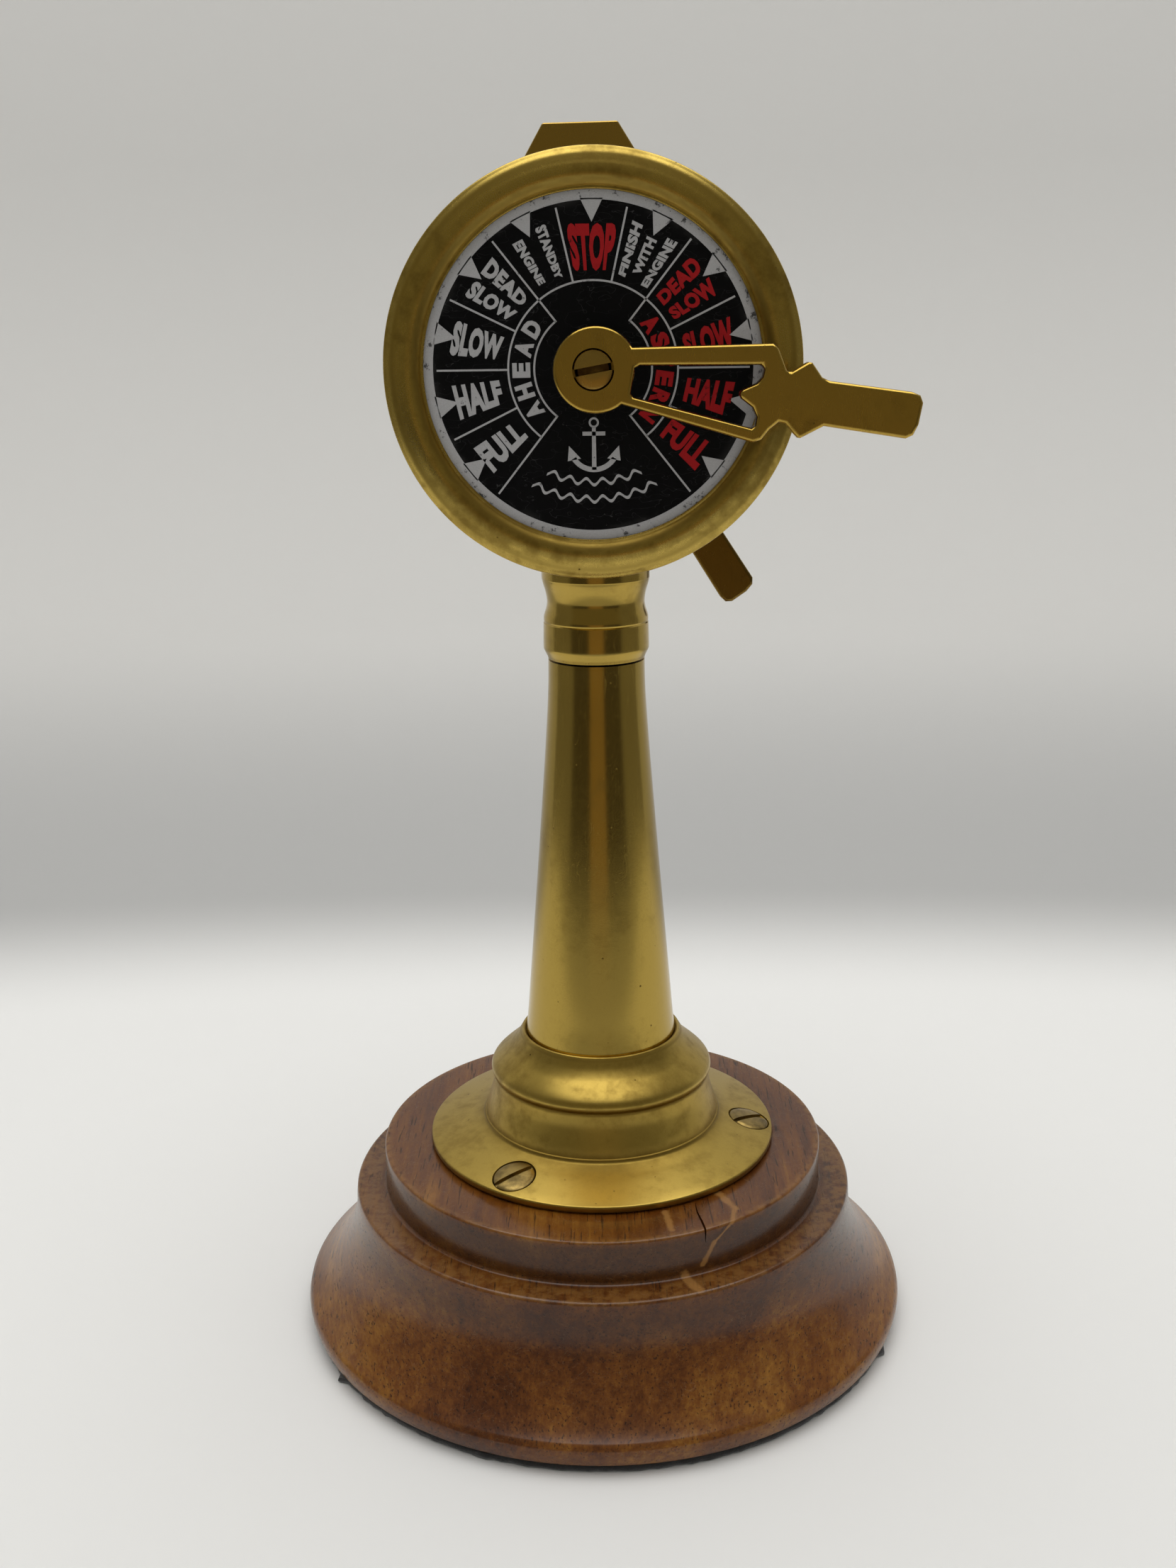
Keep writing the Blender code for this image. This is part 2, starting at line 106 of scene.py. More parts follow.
class Finish:
    # a material under construction, its Principled shader ready for the values that vary
    def __init__(self, name, fixed):
        self.material = bpy.data.materials.new(name)
        self.material.use_nodes = True
        self.tree = self.material.node_tree
        self.shader = self.tree.nodes["Principled BSDF"]
        for socket, value in fixed.items():
            self.feed(self.shader.inputs[socket], value)
        self.point = self.scaled(self.node("TexCoord", {}, {}, "Object"), (1 / mm, 1 / mm, 1 / mm))

    def feed(self, socket, value):
        if isinstance(value, Value):
            self.tree.links.new(value.socket, socket)
        elif socket.type == "RGBA" and len(value) == 3:
            socket.default_value = (*value, 1)
        else:
            socket.default_value = value

    def node(self, kind, settings, sockets, output=0):
        made = self.tree.nodes.new("ShaderNode" + kind)
        for name, value in settings.items():
            if name == "stops":
                self.setStops(made.color_ramp, value)
            else:
                setattr(made, name, value)
        for name, value in sockets.items():
            self.feed(made.inputs[name], value)
        return Value(self, made.outputs[output])

    def setStops(self, ramp, stops):
        while len(ramp.elements) < len(stops):
            ramp.elements.new(1.0)
        for element, (place, colour) in zip(ramp.elements, stops):
            element.position = place
            element.color = (*colour, 1)

    def maths(self, operation, *values):
        return self.node("Math", {"operation": operation}, dict(enumerate(values)))

    def vectors(self, operation, *values, output=0):
        return self.node("VectorMath", {"operation": operation}, dict(enumerate(values)), output)

    def scaled(self, point, amounts):
        return self.node("VectorMath", {"operation": "MULTIPLY"}, {0: point, 1: amounts})

    def axes(self, point):
        split = self.node("SeparateXYZ", {}, {0: point})
        return split, split.output("Y"), split.output("Z")

    def noise(self, point, scale, detail=3.0, rough=0.5, bend=0.0):
        return self.node("TexNoise", {}, {"Vector": point, "Scale": scale, "Detail": detail,
                                          "Roughness": rough, "Distortion": bend})

    def cells(self, point, scale, output="Distance"):
        return self.node("TexVoronoi", {}, {"Vector": point, "Scale": scale}, output)

    def rise(self, value, start, end):
        # 0 before start, 1 after end, smooth between them
        return self.node("MapRange", {"interpolation_type": "SMOOTHSTEP"},
                         {"Value": value, "From Min": start, "From Max": end})

    def band(self, value, centre, width):
        return self.rise(abs(value - centre), width, 0.0)

    def mix(self, factor, first, second):
        return self.node("Mix", {"data_type": "RGBA"}, {0: factor, 6: first, 7: second}, 2)

    def ramp(self, value, stops):
        return self.node("ValToRGB", {"stops": stops}, {0: value})

    def lengthOf(self, *parts):
        total = parts[0] * parts[0]
        for part in parts[1:]:
            total = total + part * part
        return total ** 0.5

    def fromLine(self, point, start, end):
        # distance from the line between two points
        along = end - start
        offset = self.vectors("SUBTRACT", point, tuple(start))
        share = self.vectors("DOT_PRODUCT", offset, tuple(along / along.length_squared), output="Value")
        share = self.node("Clamp", {}, {0: share})
        foot = self.node("VectorMath", {"operation": "SCALE"}, {0: tuple(along), "Scale": share})
        return self.vectors("LENGTH", self.vectors("SUBTRACT", offset, foot), output="Value")

    def done(self, colour, roughness, height=None, depth=0.1, strength=1.0):
        # depth is the height of a full-size bump in millimetres
        self.feed(self.shader.inputs["Base Color"], colour)
        self.feed(self.shader.inputs["Roughness"], roughness)
        if height is not None:
            bump = self.node("Bump", {}, {"Strength": strength, "Distance": depth * mm, "Height": height})
            self.feed(self.shader.inputs["Normal"], bump)
        return self.material


def arcPoints(x, y, radius, first, last, count):
    angles = [math.radians(first + (last - first) * i / count) for i in range(count + 1)]
    return [(x + radius * math.cos(a), y + radius * math.sin(a)) for a in angles]


def flowThrough(points, each=6):
    # a smooth line through the points, with `each` steps between two of them
    ends = [points[0], *points, points[-1]]
    line = []
    for before, a, b, after in zip(ends, ends[1:], ends[2:], ends[3:]):
        for i in range(each):
            t = i / each
            line.append(tuple(0.5 * (2 * a[k] + (b[k] - before[k]) * t
                                     + (2 * before[k] - 5 * a[k] + 4 * b[k] - after[k]) * t * t
                                     + (3 * a[k] - before[k] - 3 * b[k] + after[k]) * t ** 3)
                              for k in (0, 1)))
    return line + [points[-1]]


def turned(profile, steps=144):
    # a closed outline of (radius, height) points spun about Z
    shape = bmesh.new()
    points = [shape.verts.new((radius, 0, height)) for radius, height in profile]
    edges = [shape.edges.new((a, b)) for a, b in zip(points, points[1:] + points[:1])
             if max(a.co.x, b.co.x) > 0]
    bmesh.ops.spin(shape, geom=points + edges, cent=(0, 0, 0), axis=(0, 0, 1), angle=fullTurn,
                   steps=steps, use_merge=True)
    bmesh.ops.remove_doubles(shape, verts=shape.verts, dist=1e-4)
    return shape


def rod(radius, low, high, steps):
    return turned([(0, low), (radius, low), (radius, high), (0, high)], steps)


def plate(outline, low, high, holes=()):
    # a flat outline with holes, pulled up into a plate
    shape = bmesh.new()
    for ring in (outline, *holes):
        points = [shape.verts.new((x, y, low)) for x, y in ring]
        for a, b in zip(points, points[1:] + points[:1]):
            shape.edges.new((a, b))
    bmesh.ops.triangle_fill(shape, use_beauty=True, use_dissolve=True, edges=shape.edges[:])
    raised = bmesh.ops.extrude_face_region(shape, geom=shape.faces[:])["geom"]
    bmesh.ops.translate(shape, vec=(0, 0, high - low),
                        verts=[item for item in raised if isinstance(item, bmesh.types.BMVert)])
    return shape


def bar(half, low, high, bottom, top):
    # a rectangular plate, `half` to each side of Y
    return plate([(-half, low), (half, low), (half, high), (-half, high)], bottom, top)


def shown(name, data):
    made = bpy.data.objects.new(name, data)
    bpy.context.scene.collection.objects.link(made)
    return made


def asObject(name, shape):
    # an object in the scene from a shape, which is used up
    mesh = bpy.data.meshes.new(name)
    shape.to_mesh(mesh)
    shape.free()
    return shown(name, mesh)


def soften(shape, width, segments=3, over=25):
    # rounds every edge that turns by more than `over` degrees
    bmesh.ops.recalc_face_normals(shape, faces=shape.faces)
    sharp = [edge for edge in shape.edges
             if edge.is_manifold and math.degrees(edge.calc_face_angle()) > over]
    bmesh.ops.bevel(shape, geom=sharp, offset=width, offset_type="OFFSET", segments=segments, profile=0.5,
                    affect="EDGES", clamp_overlap=True, material=-1)
    return shape


def carve(shape, tool, operation="DIFFERENCE"):
    # cuts one shape out of another, or joins the two
    pair = []
    for part in (shape, tool):
        bmesh.ops.recalc_face_normals(part, faces=part.faces)
        pair.append(asObject("carving", part))
    change = pair[0].modifiers.new("carve", "BOOLEAN")
    change.operation = operation
    change.solver = "EXACT"
    change.object = pair[1]
    seen = pair[0].evaluated_get(bpy.context.evaluated_depsgraph_get())
    result = bpy.data.meshes.new_from_object(seen)
    made = bmesh.new()
    made.from_mesh(result)
    for item in pair:
        bpy.data.objects.remove(item)
    bpy.data.meshes.remove(result)
    return made


def carveAt(shape, tool, place):
    bmesh.ops.transform(tool, matrix=place, verts=tool.verts)
    return carve(shape, tool)


def put(name, shape, material, body, replaced=(), place=None, sharpAngle=32, flatFirst=False):
    # turns a finished shape into one piece of the telegraph
    bmesh.ops.remove_doubles(shape, verts=shape.verts, dist=1e-4)
    bmesh.ops.recalc_face_normals(shape, faces=shape.faces)
    bmesh.ops.transform(shape, matrix=Matrix.Scale(mm, 4) @ (place or Matrix.Identity(4)), verts=shape.verts)
    piece = asObject(name, shape)
    piece.data.shade_smooth()
    piece.data.set_sharp_from_angle(angle=math.radians(sharpAngle))
    piece.data.materials.append(material)
    if flatFirst:
        weighted = piece.modifiers.new("flatFaces", "WEIGHTED_NORMAL")
        weighted.keep_sharp = True
    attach(piece, body)
    if replaced:
        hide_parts(*replaced)
    return piece


# camera, a little above the head and looking down at the foot
viewpoint = {"back": 0.3202, "height": 0.2031, "lens": 37.43, "down": 15.34, "left": 0.36, "roll": -0.75}
eye = bpy.data.cameras.new("camera")
eye.lens = viewpoint["lens"]
eye.sensor_width = 36
eye.clip_start = 0.01
camera = shown("camera", eye)
camera.matrix_world = (movedTo(0, -viewpoint["back"], viewpoint["height"])
                       @ turnedBy(viewpoint["left"], "Z")
                       @ turnedBy(90 - viewpoint["down"], "X")
                       @ turnedBy(viewpoint["roll"], "Z"))
bpy.context.scene.camera = camera
bpy.context.scene.view_settings.view_transform = "Standard"

# studio: a pale round sweep painted with a pool of light round the telegraph and painted shade beyond it, an
# overhead lamp and a dark hanging in front that only reflections see
studio = {"radius": 1.25, "bend": 0.35, "wallTop": 1.7,
          "lampSize": 1.7, "lampHeight": 1.45, "lampBack": 0.1, "lampPower": 13.6,
          "skyColour": (1.0, 0.985, 0.94), "skyStrength": 0.62,
          "paperPaintedPool": (0.80, 0.80, 0.79), "paperPaintedShade": (0.43, 0.43, 0.425), "paperFar": (0.66, 0.655, 0.64),
          "paintedPoolFade": (165, 275), "paintedShadeFade": (300, 900), "widening": 0.4,
          "hangingOutline": ((0.5, 0.004), (0.85, 0.01), (1.05, 0.12), (1.12, 1.0), (0.85, 1.38)),
          "hangingReach": 105, "darkReach": (50, 62), "hangingLow": (0.06, 0.052, 0.042),
          "hangingHigh": (0.17, 0.15, 0.10), "hangingSide": (0.20, 0.19, 0.165),
          "stripGlow": (0.29, 0.20, 0.10), "stripEdge": (20, 12), "stripTop": (60, 120)}


def spun(outline, reach, steps, start=0.0):
    # an open sheet: an outline of (radius, height) points turned through `reach` degrees
    shape = bmesh.new()
    points = [shape.verts.new((radius, 0, height)) for radius, height in outline]
    edges = [shape.edges.new(pair) for pair in zip(points, points[1:])]
    bmesh.ops.rotate(shape, verts=shape.verts, cent=(0, 0, 0), matrix=turnedBy(start, "Z").to_3x3())
    bmesh.ops.spin(shape, geom=points + edges, cent=(0, 0, 0), axis=(0, 0, 1), angle=math.radians(reach),
                   steps=steps, use_merge=reach == 360)
    return shape


def makeSweep():
    radius, bend = studio["radius"], studio["bend"]
    flat = radius - bend
    outline = [(0, 0), (0.1, 0), (0.2, 0), (0.35, 0), (flat, 0)]
    outline += arcPoints(flat, bend, bend, -90, 0, 12)[1:] + [(radius, studio["wallTop"])]
    shape = spun(outline, 360, 96)
    bmesh.ops.remove_doubles(shape, verts=shape.verts, dist=1e-6)
    bmesh.ops.recalc_face_normals(shape, faces=shape.faces)
    sheet = asObject("sweep", shape)
    sheet.data.shade_smooth()
    paper = Finish("pale_paper_painted_pool", {"Roughness": 0.9, "Specular IOR Level": 0.1})
    x, y, z = paper.axes(paper.point)
    out = paper.lengthOf(x * studio["widening"], y, z)
    # painted light: the paper is painted bright near the telegraph as a pool of light, darker further out as
    # painted shade, then its plain far tone
    paintedPoolColour = paper.mix(paper.rise(out, *studio["paintedPoolFade"]), studio["paperPaintedPool"], studio["paperPaintedShade"])
    shade = paper.mix(paper.rise(out, *studio["paintedShadeFade"]), paintedPoolColour, studio["paperFar"])
    sheet.data.materials.append(paper.done(shade, 0.9))


def makeHanging():
    # it lies on the floor from well in front of the telegraph and then stands up
    reach = studio["hangingReach"]
    hanging = asObject("dark_hanging", spun(studio["hangingOutline"], 2 * reach, 64, -90 - reach))
    cloth = Finish("dark_cloth", {"Base Color": (0, 0, 0), "Roughness": 1.0, "Specular IOR Level": 0.0,
                                  "Emission Strength": 1.0})
    x, y, z = cloth.axes(cloth.point)
    sideways = abs(cloth.maths("ARCTAN2", x, y * -1.0)) * (360 / fullTurn)
    above = cloth.rise(z, *studio["stripTop"])
    glow = cloth.mix(above, studio["hangingLow"], studio["hangingHigh"])
    glow = cloth.mix(cloth.rise(sideways, *studio["darkReach"]), glow, studio["hangingSide"])
    strip = cloth.rise(sideways, *studio["stripEdge"]) * (1 - above)
    glow = cloth.mix(strip, glow, studio["stripGlow"])
    cloth.feed(cloth.shader.inputs["Emission Color"], glow)
    hanging.data.materials.append(cloth.material)
    hanging.visible_camera = False
    hanging.visible_diffuse = False
    hanging.visible_shadow = False


def makeLight():
    lamp = bpy.data.lights.new("overhead_lamp", "AREA")
    lamp.shape = "DISK"
    lamp.size = studio["lampSize"]
    lamp.energy = studio["lampPower"]
    shown("overhead_lamp", lamp).location = (0.0, studio["lampBack"], studio["lampHeight"])
    world = bpy.data.worlds.new("sky")
    world.use_nodes = True
    sky = world.node_tree.nodes["Background"]
    sky.inputs["Color"].default_value = (*studio["skyColour"], 1)
    sky.inputs["Strength"].default_value = studio["skyStrength"]
    bpy.context.scene.world = world



makeSweep()
makeHanging()
makeLight()
print("camera and studio ready")

# brass: the dark bands listed for a piece lie in grooves, gaps and joins, partly grime and partly painted
# shade, each as height along the axis or reach from it, width and strength
brassLook = {"bright": (0.48, 0.335, 0.075), "dull": (0.235, 0.152, 0.03), "pit": (0.07, 0.035, 0.008),
             "rough": 0.2, "tarnish": (0.5, 0.72), "amount": 0.7, "marks": 0.5, "pitSize": (0.112, 0.049),
             "grimeAndShade": ()}


def makeBrass(name, changes, centre=None, along="Z"):
    # `along` is the axis that the piece was turned about, and `centre` a point on it
    look = {**brassLook, **changes}
    metal = Finish(name, {"Metallic": 1.0})
    x, y, z = metal.axes(metal.vectors("SUBTRACT", metal.point, tuple(centre or (0, 0, 0))))
    patches = metal.noise(metal.point, 0.055, 3.0)
    mottle = metal.noise(metal.point, 0.33, 6.0, 0.65)
    grain = metal.noise(metal.point, 3.1, 3.0, 0.6)
    tarnish = metal.rise(patches * 0.5 + mottle * 0.5, *look["tarnish"]) * look["amount"]
    if along == "Z":
        reach, height = metal.lengthOf(x, y), z
    else:
        reach, height = metal.lengthOf(x, z), y
    # the dark bands, partly grime and partly painted shade, join the tarnish mask
    for kind, place, width, strength in look["grimeAndShade"]:
        measure = height if kind == "height" else reach
        spread = metal.band(measure + (mottle - 0.5) * width, place, width)
        tarnish = metal.maths("MAXIMUM", tarnish, spread * strength)
    spots = metal.cells(metal.point, 0.42)
    pit = metal.rise(spots, *look["pitSize"]) * metal.rise(mottle, 0.5, 0.62)
    colour = metal.mix(tarnish, look["bright"], look["dull"])
    colour = metal.mix(grain * 0.22, colour, look["dull"])
    colour = metal.mix(pit * 0.85, colour, look["pit"])
    if "inside" in look:           # the face turned to the head, which was never polished
        hidden = metal.rise(abs(y), look["inside"] + 0.35, look["inside"])
        colour = metal.mix(hidden * 0.75, colour, look["pit"])
    ringPoint = metal.node("CombineXYZ", {}, {"X": reach, "Y": height, "Z": 0.0})
    rings = metal.noise(metal.scaled(ringPoint, (5.0, 5.0, 5.0)), 1.0, 4.0, 0.7)
    hair = metal.noise(metal.scaled(metal.point, (0.5, 0.5, 0.06)), 1.0, 2.0)
    scratch = metal.rise(abs(hair - 0.5), 0.006, 0.0)
    roughness = look["rough"] + tarnish * 0.16 + (grain - 0.5) * 0.12 + pit * 0.2 + scratch * 0.08
    relief = (rings * (0.25 * look["marks"]) + grain * 0.25 - pit * 2.0 - scratch * 0.35 * look["marks"]
              + mottle * 0.5)
    return metal.done(colour, roughness, relief, 0.02, 0.55)


# painted shadow lines under the flange's edge and at the foot of the band, and painted shade in the ridge
# groove and where the lip meets the column
brassFoot = makeBrass("brass_foot", {
    "grimeAndShade": (("height", 43.6, 1.8, 0.8), ("height", 52.5, 0.7, 0.85), ("height", 38.6, 0.7, 1.0),
              ("height", 61.6, 0.6, 0.6)),
    "tarnish": (0.44, 0.68), "rough": 0.33})
brassColumn = makeBrass("brass_column", {
    "bright": (0.45, 0.315, 0.07), "tarnish": (0.5, 0.75), "amount": 0.55, "rough": 0.17, "marks": 0.3})
# painted shade where the neck's skirt meets the column, and the drum's painted shadow high on the neck
brassNeck = makeBrass("brass_neck", {
    "grimeAndShade": (("height", 142.0, 0.6, 0.6), ("height", 160.6, 0.8, 0.7)), "rough": 0.17, "amount": 0.5})
brassDrum = makeBrass("brass_drum", {"rough": 0.26}, headCentre, "Y")
# bezel: the inner band is tarnish on the roll with painted shade at the lip by the dial, and the fainter band
# is painted shade in the groove
brassBezel = makeBrass("brass_bezel", {
    "bright": (0.53, 0.38, 0.09), "tarnish": (0.47, 0.66), "amount": 0.75, "rough": 0.27, "marks": 1.0,
    "grimeAndShade": (("reach", 31.4, 1.2, 0.8), ("reach", 35.6, 0.9, 0.35))}, headCentre, "Y")
brassLever = makeBrass("brass_lever", {
    "bright": (0.50, 0.33, 0.065), "rough": 0.22, "amount": 0.8, "marks": 0.12,
    "inside": 27.2}, headCentre, "Y")
brassCover = makeBrass("brass_cover", {
    "bright": (0.46, 0.30, 0.065), "rough": 0.25, "amount": 0.7}, headCentre, "Y")
brassHub = makeBrass("brass_hub_screw", {
    "bright": (0.5, 0.34, 0.09), "dull": (0.05, 0.022, 0.008), "amount": 0.4,
    "grimeAndShade": (("height", -29.4, 0.8, 1.0), ("height", 29.4, 0.8, 1.0))}, headCentre, "Y")
brassScrew = makeBrass("brass_screw", {
    "bright": (0.40, 0.28, 0.09), "dull": (0.12, 0.085, 0.035), "rough": 0.32, "tarnish": (0.42, 0.62),
    "amount": 0.9})
brassPlain = makeBrass("brass_plain", {"rough": 0.25})
print("brass finishes ready")

# base: end grain shows at the front and back, long grain at the sides
base = {"rimTop": 5.7, "ledgeTop": 29.2, "ledgeR": 52.8, "tierR": 46.5, "coveR": 26.4, "coveTop": 27.5,
        "recessR": 10.0, "recessTop": 10.5, "rodR": 2.9, "steps": 192}
crack = {"path": ((36.9, -60.4), (40.0, -62.6), (43.4, -63.9), (47.6, -65.4)),     # radius, degrees
         "floor": (37.0, 36.2, 35.4, 35.2), "halfWidth": (0.1, 0.22, 0.3, 0.3)}
chipped = (     # two ends as radius, degrees and height, then how narrow the chipping is
    ((35.6, -50.6, 38.2), (42.9, -52.9, 38.2), 1.0), ((42.9, -52.9, 38.2), (46.5, -57.4, 38.1), 1.6),
    ((46.5, -57.4, 38.2), (46.5, -62.6, 35.0), 3.2), ((46.5, -62.6, 35.0), (46.5, -65.6, 31.0), 1.5),
    ((46.3, -70.4, 29.4), (51.4, -69.6, 29.2), 0.8), ((37.5, -71.0, 38.2), (43.9, -72.6, 38.2), 1.2))


def polar(radius, degrees, height):
    angle = math.radians(degrees)
    return Vector((radius * math.cos(angle), radius * math.sin(angle), height))


def makeWood():
    wood = Finish("turned_wood", {"Coat Weight": 0.7, "Coat Roughness": 0.2, "Coat Tint": (1.0, 0.9, 0.78),
                                  "Specular IOR Level": 0.12})
    x, y, z = wood.axes(wood.point)
    out = wood.lengthOf(x, y)
    # the grain runs along Y: long streaks on the sides, short pores and soft clouds at the front and back
    drift = wood.noise(wood.scaled(wood.point, (1.0, 0.22, 1.0)), 0.05, 4.0, 0.55, 0.6)
    streaks = wood.noise(wood.scaled(wood.point, (0.75, 0.045, 0.75)), 1.0, 6.0, 0.66)
    fleck = wood.noise(wood.scaled(wood.point, (2.2, 0.55, 2.2)), 1.0, 3.0, 0.6)
    tone = drift * 0.62 + streaks * 0.42 + fleck * 0.16
    colour = wood.ramp(tone, [(0.40, (0.030, 0.0065, 0.0007)), (0.52, (0.080, 0.022, 0.0017)),
                              (0.64, (0.145, 0.050, 0.005)), (0.78, (0.25, 0.115, 0.015))])
    pores = wood.noise(wood.scaled(wood.point, (2.4, 0.14, 2.4)), 1.0, 2.0, 0.5)
    pore = wood.rise(pores, 0.61, 0.68)
    colour = wood.mix(pore * 0.7, colour, (0.012, 0.0035, 0.0007))
    # handling has worn the rims golden; the tier's side and the upper cove are darkened with painted shade
    speckle = wood.noise(wood.point, 0.5, 5.0, 0.6)
    ledge = (wood.band(z + (speckle - 0.5) * 1.2, base["ledgeTop"] + 0.1, 0.9)
             * wood.rise(out, base["tierR"] + 0.5, base["tierR"] + 2.0))
    rim = wood.band(z, highest("wooden_base").z, 0.7) * wood.rise(out, 44.6, 46.2)
    worn = wood.maths("MAXIMUM", ledge, rim)
    colour = wood.mix(worn * wood.rise(speckle, 0.35, 0.6) * 0.6, colour, (0.25, 0.125, 0.032))
    # painted shade on the tier's side and on the upper cove
    shade = wood.rise(z, 28.6, 30.5) * wood.rise(z, 38.0, 36.5) + wood.band(z, 24.0, 7.0) * 0.7
    colour = wood.mix(shade * 0.55, colour, (0.022, 0.010, 0.004))
    # splits and chips beside the crack, down to pale wood
    chips = 99.0
    for start, end, narrow in chipped:
        line = wood.fromLine(wood.point, polar(*start), polar(*end))
        chips = wood.maths("MINIMUM", chips, line * narrow)
    chip = wood.rise(chips + (speckle - 0.5) * 1.6, 1.15, 0.35)
    colour = wood.mix(chip * 0.8, colour, (0.30, 0.155, 0.045))
    swirl = wood.noise(wood.scaled(wood.point, (0.2, 0.2, 0.35)), 1.0, 3.0, 0.6, 1.2)
    scuff = wood.rise(abs(swirl - 0.5), 0.006, 0.0)
    colour = wood.mix(scuff * 0.35, colour, (0.20, 0.12, 0.06))
    roughness = 0.36 + streaks * 0.2 + pore * 0.25 + chip * 0.3 - shade * 0.05
    relief = speckle * 0.5 - pore * 1.0 - chip * 1.6 + streaks * 0.6 - scuff * 0.5
    return wood.done(colour, roughness, relief, 0.12, 0.6)


def sweep(sections):
    # a solid drawn through a row of cross-sections
    shape = bmesh.new()
    end = shape.faces.new([shape.verts.new(point) for point in sections[0]])
    for section in sections[1:]:
        made = bmesh.ops.extrude_face_region(shape, geom=[end])["geom"]
        end = next(item for item in made if isinstance(item, bmesh.types.BMFace))
        for vert, point in zip(end.verts, section):
            vert.co = point
    return shape


def crackBlade(top):
    # a tapering blade that opens the crack from under the flange out to the rim
    sections = []
    for (radius, degrees), floor, half in zip(crack["path"], crack["floor"], crack["halfWidth"]):
        across = polar(half, degrees + 90, 0)
        above = polar(radius, degrees, top + 1)
        sections.append([above - across, above + across, polar(radius, degrees, floor)])
    return sweep(sections)


def makeBase(material):
    bottom, top = lowest("wooden_base").z, highest("wooden_base").z
    rimR = highest("wooden_base").x
    profile = [(base["rodR"], base["recessTop"]), (base["recessR"], base["recessTop"]),
               (base["recessR"], bottom)]
    profile += flowThrough([(rimR - 1.7, bottom), (rimR - 0.7, bottom + 0.7), (rimR - 0.1, bottom + 2.4),
                            (rimR - 0.02, base["rimTop"] - 0.7)], 4)
    profile += arcPoints(base["ledgeR"] + 0.1 + base["coveR"], base["coveTop"], base["coveR"], 234, 180, 30)
    profile += arcPoints(base["ledgeR"] - 0.75, base["ledgeTop"] - 0.75, 0.75, 0, 90, 5)
    profile += arcPoints(base["tierR"] + 0.75, base["ledgeTop"] + 0.65, 0.75, 270, 180, 5)
    profile += arcPoints(base["tierR"] - 0.6, top - 0.6, 0.6, 0, 90, 5)
    profile += [(40.0, top), (30.0, top), (20.0, top), (base["rodR"], top)]
    shape = drilled(carve(turned(profile, base["steps"]), crackBlade(top)), 32)
    put("turned_base", shape, material, "stand", ["wooden_base"], sharpAngle=40)


# felt under the base, its cut edge a little ragged
felt = {"ragged": 0.35, "wisps": ((-147, 1.5, 2.2), (-25, 1.3, 2.5), (-112, 0.6, 3.0), (60, 0.9, 3.0))}


def makeFelt():
    cloth = Finish("black_felt", {"Sheen Weight": 0.4, "Sheen Roughness": 0.6, "Specular IOR Level": 0.2})
    fuzz = cloth.noise(cloth.point, 2.4, 6.0, 0.75)
    lint = cloth.rise(cloth.noise(cloth.scaled(cloth.point, (1, 1, 3)), 0.9, 4.0, 0.7), 0.68, 0.74)
    colour = cloth.mix(fuzz, (0.004, 0.004, 0.005), (0.022, 0.021, 0.022))
    colour = cloth.mix(lint * 0.5, colour, (0.10, 0.095, 0.085))
    material = cloth.done(colour, 0.9 + fuzz * 0.1, fuzz, 0.25, 0.9)
    radius, thick = highest("felt_pad").x, highest("felt_pad").z
    profile = [(0, 0), (radius * 0.5, 0), (radius - 0.3, 0), (radius, 0.3), (radius + 0.05, thick * 0.6),
               (radius - 0.3, thick), (radius * 0.5, thick), (0, thick)]
    shape = turned(profile, 240)
    for vert in shape.verts:
        out = math.hypot(vert.co.x, vert.co.y)
        if out > radius - 1:
            push = felt["ragged"] * noise.noise(vert.co * 0.9) + 0.15 * noise.noise(vert.co * 4.0)
            azimuth = math.degrees(math.atan2(vert.co.y, vert.co.x))
            for place, length, width in felt["wisps"]:
                push += length * math.exp(-((azimuth - place) / width * 2) ** 2)
            vert.co.xy *= 1 + push / out
            vert.co.z = min(max(vert.co.z, 0.0), thick)
    put("felt_disc", shape, material, "stand", ["felt_pad"], sharpAngle=60)


# countersunk wood screws, square to the sloping flange
screw = {"headR": 4.2, "shankR": 1.9, "length": 16.0, "radius": 31.6, "slope": 15.0, "slotWidth": 1.05,
         "slotDepth": 0.8, "slotTurn": (27.0, 38.0, -15.0), "pitch": 1.8, "threadDepth": 0.45,
         "clearance": 0.3, "chewed": 2}


def screwPlace(number, turn=0.0):
    centre = (lowest(f"foot_screw_{number}") + highest(f"foot_screw_{number}")) / 2
    azimuth = math.degrees(math.atan2(centre.y, centre.x))
    rise = (highest("foot_casting").x - 0.3 - screw["radius"]) * math.tan(math.radians(screw["slope"]))
    return (turnedBy(azimuth, "Z") @ movedTo(screw["radius"], 0, foot["edgeTop"] + rise)
            @ turnedBy(screw["slope"], "Y") @ turnedBy(turn - azimuth if turn else 0, "Z"))


def screwProfile(extra=0.0):
    head, shank = screw["headR"] + extra, screw["shankR"] + extra
    end = -screw["length"] - extra
    return [(0, 0.4 + extra), (head * 0.6, 0.3 + extra), (head * 0.9, 0.13 + extra), (head, extra),
            (head, -0.4), (shank, -2.8 - extra / 2), (shank * 0.85, end + 4.5), (0, end)]


def drilled(shape, steps):
    # three holes for the screws
    for number in (1, 2, 3):
        shape = carveAt(shape, turned(screwProfile(screw["clearance"]), steps), screwPlace(number))
    return shape


